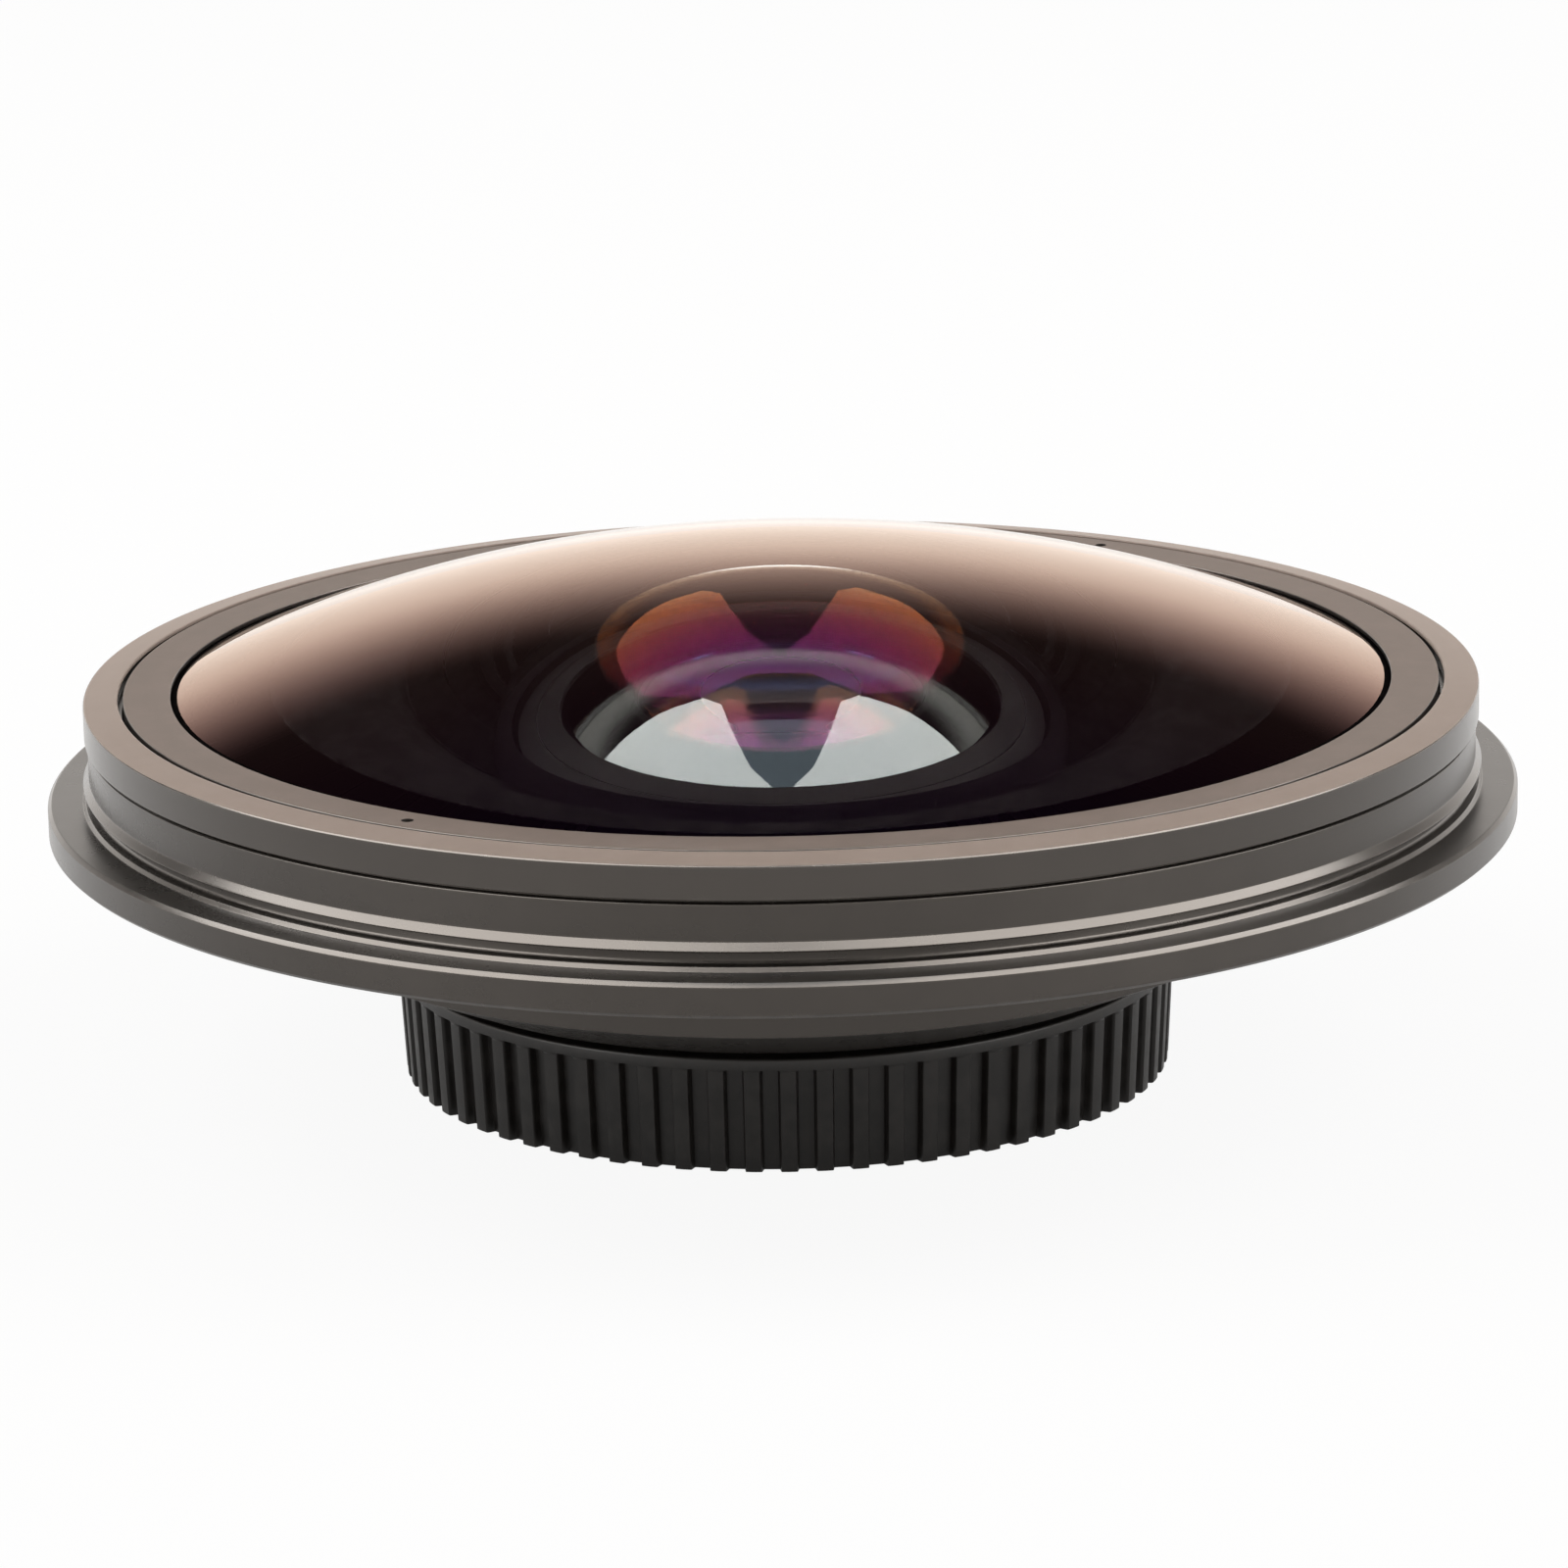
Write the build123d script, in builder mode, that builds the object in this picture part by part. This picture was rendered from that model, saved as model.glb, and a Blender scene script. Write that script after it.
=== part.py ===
from build123d import *
import os
from math import pi, sqrt

# Wide fisheye conversion lens: a thin brimmed housing round one large domed
# glass, a smaller optical barrel inside it, and a ribbed collar at the back
# that turns on the neck and carries the screw mount.
# Millimetres. Z runs along the optical axis, out of the front glass, and the
# collar stands on Z = 0.

os.makedirs("parts", exist_ok=True)

# Fits and clearances
glass_fit = 0.05  # radial, round a ground glass rim
thread_fit = 0.05  # radial, between screwed pieces whose threads are plain here
tube_fit = 0.05  # radial, of the barrel's tube in the neck
running_fit = 0.05  # radial, of the collar on the neck
bond_gap = 0.03  # radial, of the grip ring round the collar
seat_gap = 0.03  # under a lip or ring that bears on a curved face
cement_layer = 0.02  # between the two glasses of the doublet
collar_float = 0.10  # play of the collar along the axis
overrun = 1.0  # how far a cut runs out past the face that it leaves

# Mount collar, from the screw mount outwards
mount_thread_r = 21.5  # male 43 mm mount
mount_thread_wall = 1.8
mount_thread_chamfer = 0.3
mount_spigot_recess = 0.55  # end of the screw thread over the base
skirt_gap = 1.9  # open ring between the mount thread and the skirt
skirt_wall = 1.1
skirt_recess = 0.25
collar_edge_chamfer = 0.2

# Grip ring
grip_height = 7.75
grip_wall = 1.22  # at its lower edge
grip_draft = 0.4  # the ring is this much larger in radius at its top
grip_edge_chamfer = 0.2
rib_count = 70
rib_share = 0.5  # of the pitch that is rib, the rest is groove
rib_depth = 0.6
rib_band_height = 0.8  # smooth band over the ribs

# Neck, slip washers and the ring that holds the collar on the neck
holding_ring_gap = 0.4  # radial, inside the mount thread's wall
holding_ring_shoulder = 1.35  # how far it stands out past the neck
holding_ring_height = 1.15
neck_thread_step = 0.95  # radial, from the neck to its thread
neck_thread_length = 1.35
neck_wall = 1.7  # at its thread
neck_length = 5.65  # below the bell
upper_washer_height = 0.5
upper_washer_play = 0.35  # radial, round the neck
upper_washer_width = 5.2
lower_washer_height = 0.2
lower_washer_play = 0.15  # radial, round the neck

# Housing outside
grip_gap = 0.5  # open slit between the grip ring and the bell
cone_overhang = 0.35  # of the bell's lower edge past the grip ring
cone_height = 3.35
bell_height = 5.85
brim_r = 49.0
brim_thickness = 2.25
brim_chamfer = 0.25
brim_width = 2.6  # outside the wall
step_width = 0.25
step_height = 0.3
cove_depth = 0.55
cove_height = 0.9
wall_chamfer = 0.5
wall_height = 4.13  # from the brim to the front ring's seat

# Housing inside
bell_wall = 2.4
floor_thickness = 3.35
seat_rise = 0.3  # of the glass seat over the brim's top face

# Front ring
front_groove_height = 0.27
front_groove_depth = 0.5
front_ring_height = 2.15  # of its outer face
front_ring_rise = 0.35  # of its top face, from the outer edge to the inner edge
front_ring_edge = 0.12
front_ring_wall = 1.2
front_lip_width = 1.1
front_lip_height = 0.9
spigot_clearance = 0.1

# Glass retaining ring
glass_ring_gap = 0.35  # radial, inside the front ring's lip
glass_ring_wall = 1.85  # outside the front glass's rim
glass_ring_overlap = 1.3  # of its lip over the glass
glass_ring_lip = 0.85  # thickness over the glass's rim
glass_ring_skirt = 1.5  # from the glass's rim down
glass_ring_below = 0.05  # its top face, under the front ring's inner edge
glass_ring_chamfer = 0.12
glass_ring_skirt_gap = 0.2
spanner_hole_r = 0.4
spanner_hole_depth = 1.2
spanner_hole_inset = 1.7  # from the ring's bore
spanner_hole_angle = 236.8
spanner_hole_count = 2

# Front element and its seal
dome_rise = 8.73  # of its middle over its edge
front_center_height = 3.1
front_skirt_height = 5.2  # of its rear part, below the seat
front_skirt_gap = 0.3  # radial, inside the bell
front_bowl_margin = 4.3  # of the rear bowl round the second element
front_rim_chamfer = 0.25
seal_thickness = 1.2
seal_inset = 3.1  # from the front glass's rim
seal_groove_margin = 0.15

# Optical barrel
barrel_flange_gap = 0.8  # radial, inside the bell
barrel_flange_height = 1.4
barrel_tube_wall = 2.7
barrel_tube_end = 0.13  # past the rear retaining ring
barrel_aperture_step = 0.5
barrel_lip_height = 0.8  # between the seats of the second and the third element
cup_wall = 1.6
cup_thread_step = 1.0  # radial, from the second element's rim to the ring's thread
cup_thread_depth = 1.7
cup_well_depth = 1.6  # of the recess for the cup in the housing's floor
cup_well_gap = 0.3  # radial, round the cup

# Barrel screws
screw_count = 4
screw_flange_inset = 5.7  # from the flange's edge
screw_cup_gap = 3.0  # from the screws' axes to the cup
screw_shank_r = 0.95
screw_hole_r = 1.0
screw_through_r = 1.15
screw_head_r = 1.7
screw_head_height = 1.2
screw_depth = 1.8
screw_hole_spare = 0.2
screw_recess_r = 0.6
screw_recess_depth = 0.6
screw_first_angle = 45.0

# Second element and its retaining ring
second_rim_share = 0.4654  # of the front glass's rim
second_dome_rise = 3.96  # of a face's middle over its edge, as the other rises are
second_center_height = 2.2
second_edge_height = 1.0
second_edge_drop = 1.25  # its edge below the flange's top face
second_bowl_margin = 0.6  # of the rear bowl round the barrel's aperture
second_ring_overlap = 1.0
second_ring_skirt_gap = 0.2
second_ring_height = 1.5

# Baffle ring
baffle_plate_height = 0.45
baffle_glass_gap = 0.05  # under the front glass
baffle_bell_gap = 0.2
baffle_foot_width = 0.9

# Rear group
rear_bevel = 0.9
third_front_rise = 1.9
third_rear_rise = 0.97
third_edge_height = 1.1
spacer_height = 1.1
stop_height = 1.3
stop_plate_height = 0.4
stop_r = 6.5
crown_rise = 0.85
crown_edge_height = 0.8
cement_rise = 2.4
flint_rise = 0.97
flint_center_height = 1.5
rear_ring_height = 1.0
slot_width = 1.0
slot_depth = 0.6

# Radii of the collar and the neck
skirt_bore_r = mount_thread_r + skirt_gap
collar_r = skirt_bore_r + skirt_wall
grip_bore_r = collar_r + bond_gap
grip_bottom_r = grip_bore_r + grip_wall
grip_top_r = grip_bottom_r + grip_draft
cone_end_r = grip_top_r + cone_overhang
mount_spigot_bore_r = mount_thread_r - mount_thread_wall
holding_ring_r = mount_spigot_bore_r - holding_ring_gap
neck_r = holding_ring_r - holding_ring_shoulder
neck_thread_r = neck_r - neck_thread_step
neck_bore_r = neck_thread_r - neck_wall
collar_bore_r = neck_r + running_fit
upper_washer_bore_r = neck_r + upper_washer_play
lower_washer_bore_r = neck_r + lower_washer_play

# Radii of the barrel's tube and the rear group
barrel_tube_r = neck_bore_r - tube_fit
barrel_bore_r = barrel_tube_r - barrel_tube_wall
rear_rim_r = barrel_bore_r - glass_fit
rear_optic_r = rear_rim_r - rear_bevel
barrel_aperture_r = rear_rim_r - barrel_aperture_step

# Radii of the front, from the brim inwards
wall_r = brim_r - brim_width
step_r = wall_r + step_width
cove_r = wall_r - cove_depth
front_ring_bore_r = wall_r - front_ring_wall
spigot_r = front_ring_bore_r - thread_fit
front_lip_r = front_ring_bore_r - front_lip_width
glass_ring_r = front_lip_r - glass_ring_gap
glass_ring_thread_r = glass_ring_r + thread_fit
front_rim_r = glass_ring_r - glass_ring_wall
glass_bore_r = front_rim_r + glass_fit
glass_ring_bore_r = front_rim_r - glass_ring_overlap
spanner_hole_place_r = glass_ring_bore_r + spanner_hole_inset
seal_r = front_rim_r - seal_inset

# Radii of the second element, the cup round it and the bell round that
second_rim_r = second_rim_share * front_rim_r
second_bowl_r = barrel_aperture_r + second_bowl_margin
front_bowl_r = second_rim_r + front_bowl_margin
cup_bore_r = second_rim_r + glass_fit
cup_thread_r = second_rim_r + cup_thread_step
cup_r = cup_thread_r + cup_wall
cup_well_r = cup_r + cup_well_gap
baffle_foot_r = cup_r + baffle_foot_width
screw_place_r = cup_r + screw_cup_gap
barrel_flange_r = screw_place_r + screw_flange_inset
bell_bore_r = barrel_flange_r + barrel_flange_gap
baffle_r = bell_bore_r - baffle_bell_gap
front_skirt_r = bell_bore_r - front_skirt_gap
bell_r = bell_bore_r + bell_wall

# Heights along the axis
bell_bottom_z = grip_height + grip_gap
cone_top_z = bell_bottom_z + cone_height
brim_bottom_z = cone_top_z + bell_height
brim_top_z = brim_bottom_z + brim_thickness
glass_seat_z = brim_top_z + seat_rise
wall_bottom_z = brim_top_z + step_height + cove_height
ring_seat_z = brim_top_z + wall_height
front_ring_z = ring_seat_z + front_groove_height
front_ring_top_z = front_ring_z + front_ring_height
front_lip_top_z = front_ring_top_z + front_ring_rise
front_lip_z = front_lip_top_z - front_lip_height
spigot_top_z = front_lip_z - spigot_clearance
housing_floor_z = bell_bottom_z + floor_thickness
cup_well_z = housing_floor_z - cup_well_depth
flange_top_z = housing_floor_z + barrel_flange_height
front_skirt_z = glass_seat_z - front_skirt_height
glass_ring_top_z = front_lip_top_z - glass_ring_below
lip_root_z = glass_ring_top_z - glass_ring_lip
front_edge_z = lip_root_z - seat_gap
dome_z = front_edge_z + dome_rise
glass_ring_z = lip_root_z - glass_ring_skirt
baffle_plate_z = front_skirt_z - baffle_glass_gap - baffle_plate_height
second_edge_z = flange_top_z - second_edge_drop
cup_seat_z = second_edge_z - second_edge_height


def curve_of(depth, edge_r):
    """Radius of the spherical face that is depth deep at edge_r."""
    return (edge_r**2 + depth**2) / (2 * depth)


def sag(curve, height):
    """Depth of a spherical face of radius curve at a distance height from the axis."""
    return curve - sqrt(curve**2 - height**2)


def optic_arc(curve, vertex_z, edge_r):
    """Half of a lens face, from the axis to edge_r. A negative curve bulges to the rear."""
    side = 1 if curve > 0 else -1
    size = abs(curve)
    half_r = edge_r / 2
    half_point = (half_r, vertex_z - side * sag(size, half_r))
    edge_point = (edge_r, vertex_z - side * sag(size, edge_r))
    ThreePointArc((0, vertex_z), half_point, edge_point)
    return edge_point


def ring_section(bore_r, outer_r, low_z, high_z):
    """Plain rectangular half section of a ring, drawn in the open sketch."""
    with Locations((bore_r, low_z)):
        Rectangle(outer_r - bore_r, high_z - low_z, align=(Align.MIN, Align.MIN))


def spanner_slot(ring_r, rear_z):
    """Slot across a retaining ring's rear face, for a spanner."""
    with Locations((0, 0, rear_z)):
        Box(2 * (ring_r + overrun), slot_width, 2 * slot_depth, mode=Mode.SUBTRACT)


# Heights of the rear group, from the third element's seat down to the tube's end
shoulder_z = cup_seat_z - barrel_lip_height
third_rear_z = shoulder_z - third_edge_height
spacer_z = third_rear_z - spacer_height
stop_z = spacer_z - stop_height
crown_edge_z = stop_z - crown_edge_height
cement_z = crown_edge_z - cement_rise
flint_top_z = cement_z - cement_layer
flint_back_z = flint_top_z - flint_center_height
flint_edge_z = flint_back_z + flint_rise
rear_ring_z = flint_edge_z - rear_ring_height
tube_end_z = rear_ring_z - barrel_tube_end

# Main housing: brim, bell, cone and neck turned from one piece
with BuildPart() as main_housing:
    with BuildSketch(Plane.XZ):
        with BuildLine():
            Polyline(
                (neck_bore_r, bell_bottom_z - neck_length),
                (neck_thread_r, bell_bottom_z - neck_length),
                (neck_thread_r, bell_bottom_z - neck_length + neck_thread_length),
                (neck_r, bell_bottom_z - neck_length + neck_thread_length),
                (neck_r, bell_bottom_z),
                (cone_end_r, bell_bottom_z),
                (bell_r, cone_top_z),
                (bell_r, brim_bottom_z),
                (brim_r - brim_chamfer, brim_bottom_z),
                (brim_r, brim_bottom_z + brim_chamfer),
                (brim_r, brim_top_z - brim_chamfer),
                (brim_r - brim_chamfer, brim_top_z),
                (step_r, brim_top_z),
                (step_r - step_height / 2, brim_top_z + step_height),
                (cove_r + step_height, brim_top_z + step_height),
            )
            RadiusArc(
                (cove_r + step_height, brim_top_z + step_height),
                (cove_r, brim_top_z + 2 * step_height),
                -step_height,
            )
            Polyline(
                (cove_r, brim_top_z + 2 * step_height),
                (cove_r, wall_bottom_z),
                (wall_r, wall_bottom_z + wall_chamfer),
                (wall_r, ring_seat_z),
                (spigot_r, ring_seat_z),
                (spigot_r, spigot_top_z),
                (glass_ring_thread_r, spigot_top_z),
                (glass_ring_thread_r, glass_ring_z - glass_ring_skirt_gap),
                (glass_bore_r, glass_ring_z - glass_ring_skirt_gap),
                (glass_bore_r, glass_seat_z),
                (bell_bore_r, glass_seat_z),
                (bell_bore_r, housing_floor_z),
                (cup_well_r, housing_floor_z),
                (cup_well_r, cup_well_z),
                (neck_bore_r, cup_well_z),
                (neck_bore_r, bell_bottom_z - neck_length),
            )
        make_face()
    revolve(axis=Axis.Z)
    # Groove for the seal under the glass
    with BuildSketch(Plane.XZ):
        ring_section(
            seal_r - seal_thickness / 2 - seal_groove_margin,
            seal_r + seal_thickness / 2 + seal_groove_margin,
            glass_seat_z - seal_thickness - seat_gap,
            glass_seat_z + overrun,
        )
    revolve(axis=Axis.Z, mode=Mode.SUBTRACT)
    # Tapped holes for the barrel screws
    with BuildSketch(Plane.XY.offset(housing_floor_z)):
        with PolarLocations(screw_place_r, screw_count, screw_first_angle):
            Circle(screw_hole_r)
    extrude(amount=-screw_depth - screw_hole_spare, mode=Mode.SUBTRACT)
main_housing.part.label = "main_housing"
export_step(main_housing.part, "parts/main_housing.step")

# Front ring: trim ring round the spigot, with a groove under its outer face
with BuildPart() as front_ring:
    with BuildSketch(Plane.XZ):
        with BuildLine():
            Polyline(
                (front_ring_bore_r, ring_seat_z),
                (wall_r - front_groove_depth, ring_seat_z),
                (wall_r - front_groove_depth, front_ring_z),
                (wall_r, front_ring_z),
                (wall_r, front_ring_top_z - front_ring_edge),
                (wall_r - front_ring_edge, front_ring_top_z),
                (front_lip_r + front_ring_edge, front_lip_top_z),
                (front_lip_r, front_lip_top_z - front_ring_edge),
                (front_lip_r, front_lip_z),
                (front_ring_bore_r, front_lip_z),
                close=True,
            )
        make_face()
    revolve(axis=Axis.Z)
front_ring.part.label = "front_ring"
export_step(front_ring.part, "parts/front_ring.step")

# Front element: deep meniscus, stepped behind its seat so that it reaches down into
# the bell round its rear bowl
with BuildPart() as front_element:
    front_curve = curve_of(dome_rise, front_rim_r)
    bowl_z = dome_z - front_center_height
    front_bowl_curve = curve_of(bowl_z - front_skirt_z, front_bowl_r)
    rim_top_z = dome_z - sag(front_curve, front_rim_r - front_rim_chamfer)
    with BuildSketch(Plane.XZ):
        with BuildLine():
            optic_arc(front_curve, dome_z, front_rim_r - front_rim_chamfer)
            Polyline(
                (front_rim_r - front_rim_chamfer, rim_top_z),
                (front_rim_r, rim_top_z - front_rim_chamfer),
                (front_rim_r, glass_seat_z + front_rim_chamfer),
                (front_rim_r - front_rim_chamfer, glass_seat_z),
                (front_skirt_r, glass_seat_z),
                (front_skirt_r, front_skirt_z + front_rim_chamfer),
                (front_skirt_r - front_rim_chamfer, front_skirt_z),
                (front_bowl_r, front_skirt_z),
            )
            optic_arc(front_bowl_curve, bowl_z, front_bowl_r)
            Line((0, bowl_z), (0, dome_z))
        make_face()
    revolve(axis=Axis.Z)
front_element.part.label = "front_element"
export_step(front_element.part, "parts/front_element.step")

# Glass retaining ring: screws into the housing, its lip follows the dome
with BuildPart() as glass_retaining_ring:
    skirt_r = front_rim_r + glass_ring_skirt_gap
    lip_edge_z = dome_z - sag(front_curve, glass_ring_bore_r) + seat_gap
    with BuildSketch(Plane.XZ):
        with BuildLine():
            Polyline(
                (skirt_r, glass_ring_z),
                (glass_ring_r, glass_ring_z),
                (glass_ring_r, glass_ring_top_z - glass_ring_chamfer),
                (glass_ring_r - glass_ring_chamfer, glass_ring_top_z),
                (glass_ring_bore_r + glass_ring_chamfer, glass_ring_top_z),
                (glass_ring_bore_r, glass_ring_top_z - glass_ring_chamfer),
                (glass_ring_bore_r, lip_edge_z),
                (front_rim_r, lip_root_z),
                (skirt_r, lip_root_z),
                close=True,
            )
        make_face()
    revolve(axis=Axis.Z)
    with BuildSketch(Plane.XY.offset(glass_ring_top_z)):
        with PolarLocations(spanner_hole_place_r, spanner_hole_count, spanner_hole_angle):
            Circle(spanner_hole_r)
    extrude(amount=-spanner_hole_depth, mode=Mode.SUBTRACT)
glass_retaining_ring.part.label = "glass_retaining_ring"
export_step(glass_retaining_ring.part, "parts/glass_retaining_ring.step")

# Front seal: round cord ring under the glass
with BuildPart() as front_seal:
    with BuildSketch(Plane.XZ):
        with Locations((seal_r, glass_seat_z - seal_thickness / 2 - seat_gap / 2)):
            Circle(seal_thickness / 2)
    revolve(axis=Axis.Z)
front_seal.part.label = "front_seal"
export_step(front_seal.part, "parts/front_seal.step")

# Optical barrel: flanged cup for the second element over the rear tube
with BuildPart() as optical_barrel:
    with BuildSketch(Plane.XZ):
        with BuildLine():
            Polyline(
                (barrel_bore_r, tube_end_z),
                (barrel_tube_r, tube_end_z),
                (barrel_tube_r, cup_well_z),
                (cup_r, cup_well_z),
                (cup_r, housing_floor_z),
                (barrel_flange_r, housing_floor_z),
                (barrel_flange_r, flange_top_z),
                (cup_thread_r, flange_top_z),
                (cup_thread_r, flange_top_z - cup_thread_depth),
                (cup_bore_r, flange_top_z - cup_thread_depth),
                (cup_bore_r, cup_seat_z),
                (barrel_aperture_r, cup_seat_z),
                (barrel_aperture_r, shoulder_z),
                (barrel_bore_r, shoulder_z),
                close=True,
            )
        make_face()
    revolve(axis=Axis.Z)
    with BuildSketch(Plane.XY.offset(housing_floor_z - overrun)):
        with PolarLocations(screw_place_r, screw_count, screw_first_angle):
            Circle(screw_through_r)
    extrude(amount=barrel_flange_height + 2 * overrun, mode=Mode.SUBTRACT)
optical_barrel.part.label = "optical_barrel"
export_step(optical_barrel.part, "parts/optical_barrel.step")

# Barrel screws: hold the barrel's flange to the housing's floor
with BuildPart() as barrel_screws:
    with BuildSketch(Plane.XY.offset(housing_floor_z - screw_depth)):
        with PolarLocations(screw_place_r, screw_count, screw_first_angle):
            Circle(screw_shank_r)
    extrude(amount=screw_depth + barrel_flange_height)
    with BuildSketch(Plane.XY.offset(flange_top_z)):
        with PolarLocations(screw_place_r, screw_count, screw_first_angle):
            Circle(screw_head_r)
    extrude(amount=screw_head_height)
    with BuildSketch(Plane.XY.offset(flange_top_z + screw_head_height)):
        with PolarLocations(screw_place_r, screw_count, screw_first_angle):
            RegularPolygon(screw_recess_r, 6)
    extrude(amount=-screw_recess_depth, mode=Mode.SUBTRACT)
barrel_screws.part.label = "barrel_screws"
export_step(barrel_screws.part, "parts/barrel_screws.step")

# Second element: shallow meniscus, low in the cup
with BuildPart() as second_element:
    second_curve = curve_of(second_dome_rise, second_rim_r)
    second_dome_z = second_edge_z + second_dome_rise
    second_bowl_z = second_dome_z - second_center_height
    second_bowl_curve = curve_of(second_bowl_z - cup_seat_z, second_bowl_r)
    with BuildSketch(Plane.XZ):
        with BuildLine():
            optic_arc(second_curve, second_dome_z, second_rim_r)
            Polyline(
                (second_rim_r, second_edge_z),
                (second_rim_r, cup_seat_z),
                (second_bowl_r, cup_seat_z),
            )
            optic_arc(second_bowl_curve, second_bowl_z, second_bowl_r)
            Line((0, second_bowl_z), (0, second_dome_z))
        make_face()
    revolve(axis=Axis.Z)
second_element.part.label = "second_element"
export_step(second_element.part, "parts/second_element.step")

# Second retaining ring: screws into the cup over the second element
with BuildPart() as second_retaining_ring:
    second_ring_r = cup_thread_r - thread_fit
    second_ring_bore_r = second_rim_r - second_ring_overlap
    second_ring_skirt_r = second_rim_r + second_ring_skirt_gap
    second_lip_z = second_dome_z - sag(second_curve, second_ring_bore_r) + seat_gap
    second_root_z = second_edge_z + seat_gap
    second_ring_top_z = flange_top_z - seat_gap
    with BuildSketch(Plane.XZ):
        with BuildLine():
            Polyline(
                (second_ring_skirt_r, second_ring_top_z - second_ring_height),
                (second_ring_r, second_ring_top_z - second_ring_height),
                (second_ring_r, second_ring_top_z),
                (second_ring_bore_r, second_ring_top_z),
                (second_ring_bore_r, second_lip_z),
                (second_rim_r, second_root_z),
                (second_ring_skirt_r, second_root_z),
                close=True,
            )
        make_face()
    revolve(axis=Axis.Z)
second_retaining_ring.part.label = "second_retaining_ring"
export_step(second_retaining_ring.part, "parts/second_retaining_ring.step")

# Baffle ring: stands on the flange round the cup and covers the barrel screws
with BuildPart() as baffle_ring:
    with BuildSketch(Plane.XZ):
        with BuildLine():
            Polyline(
                (cup_r, flange_top_z),
                (baffle_foot_r, flange_top_z),
                (baffle_foot_r, baffle_plate_z),
                (baffle_r, baffle_plate_z),
                (baffle_r, baffle_plate_z + baffle_plate_height),
                (cup_r, baffle_plate_z + baffle_plate_height),
                close=True,
            )
        make_face()
    revolve(axis=Axis.Z)
baffle_ring.part.label = "baffle_ring"
export_step(baffle_ring.part, "parts/baffle_ring.step")

# Third element: biconvex, seated against the barrel's shoulder
with BuildPart() as third_element:
    third_dome_z = shoulder_z + third_front_rise
    third_back_z = third_rear_z - third_rear_rise
    third_front_curve = curve_of(third_front_rise, rear_optic_r)
    third_rear_curve = curve_of(third_rear_rise, rear_optic_r)
    with BuildSketch(Plane.XZ):
        with BuildLine():
            optic_arc(third_front_curve, third_dome_z, rear_optic_r)
            Polyline(
                (rear_optic_r, shoulder_z),
                (rear_rim_r, shoulder_z),
                (rear_rim_r, third_rear_z),
                (rear_optic_r, third_rear_z),
            )
            optic_arc(-third_rear_curve, third_back_z, rear_optic_r)
            Line((0, third_back_z), (0, third_dome_z))
        make_face()
    revolve(axis=Axis.Z)
third_element.part.label = "third_element"
export_step(third_element.part, "parts/third_element.step")

# Rear spacer between the third element and the stop
with BuildPart() as rear_spacer:
    with BuildSketch(Plane.XZ):
        ring_section(rear_optic_r + seat_gap, rear_rim_r, spacer_z, third_rear_z)
    revolve(axis=Axis.Z)
rear_spacer.part.label = "rear_spacer"
export_step(rear_spacer.part, "parts/rear_spacer.step")

# Aperture stop: a thin plate with a rim that spaces the doublet
with BuildPart() as aperture_stop:
    with BuildSketch(Plane.XZ):
        with BuildLine():
            Polyline(
                (rear_optic_r + seat_gap, stop_z),
                (rear_rim_r, stop_z),
                (rear_rim_r, spacer_z),
                (stop_r, spacer_z),
                (stop_r, spacer_z - stop_plate_height),
                (rear_optic_r + seat_gap, spacer_z - stop_plate_height),
                close=True,
            )
        make_face()
    revolve(axis=Axis.Z)
aperture_stop.part.label = "aperture_stop"
export_step(aperture_stop.part, "parts/aperture_stop.step")

# Doublet, front glass
with BuildPart() as doublet_front:
    crown_dome_z = stop_z + crown_rise
    crown_curve = curve_of(crown_rise, rear_optic_r)
    cement_curve = curve_of(cement_rise, rear_rim_r)
    with BuildSketch(Plane.XZ):
        with BuildLine():
            optic_arc(crown_curve, crown_dome_z, rear_optic_r)
            Polyline(
                (rear_optic_r, stop_z),
                (rear_rim_r, stop_z),
                (rear_rim_r, crown_edge_z),
            )
            optic_arc(-cement_curve, cement_z, rear_rim_r)
            Line((0, cement_z), (0, crown_dome_z))
        make_face()
    revolve(axis=Axis.Z)
doublet_front.part.label = "doublet_front"
export_step(doublet_front.part, "parts/doublet_front.step")

# Doublet, rear glass
with BuildPart() as doublet_rear:
    flint_curve = curve_of(flint_rise, rear_optic_r)
    with BuildSketch(Plane.XZ):
        with BuildLine():
            optic_arc(-cement_curve, flint_top_z, rear_rim_r)
            Polyline(
                (rear_rim_r, crown_edge_z - cement_layer),
                (rear_rim_r, flint_edge_z),
                (rear_optic_r, flint_edge_z),
            )
            optic_arc(-flint_curve, flint_back_z, rear_optic_r)
            Line((0, flint_back_z), (0, flint_top_z))
        make_face()
    revolve(axis=Axis.Z)
doublet_rear.part.label = "doublet_rear"
export_step(doublet_rear.part, "parts/doublet_rear.step")

# Rear retaining ring: screws into the tube behind the doublet
with BuildPart() as rear_retaining_ring:
    with BuildSketch(Plane.XZ):
        ring_section(rear_optic_r + seat_gap, rear_rim_r, rear_ring_z, flint_edge_z)
    revolve(axis=Axis.Z)
    spanner_slot(rear_rim_r, rear_ring_z)
rear_retaining_ring.part.label = "rear_retaining_ring"
export_step(rear_retaining_ring.part, "parts/rear_retaining_ring.step")

# Upper slip washer, between the bell and the collar
with BuildPart() as upper_slip_washer:
    upper_washer_z = bell_bottom_z - upper_washer_height
    upper_washer_r = upper_washer_bore_r + upper_washer_width
    with BuildSketch(Plane.XZ):
        ring_section(upper_washer_bore_r, upper_washer_r, upper_washer_z, bell_bottom_z)
    revolve(axis=Axis.Z)
upper_slip_washer.part.label = "upper_slip_washer"
export_step(upper_slip_washer.part, "parts/upper_slip_washer.step")

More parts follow.
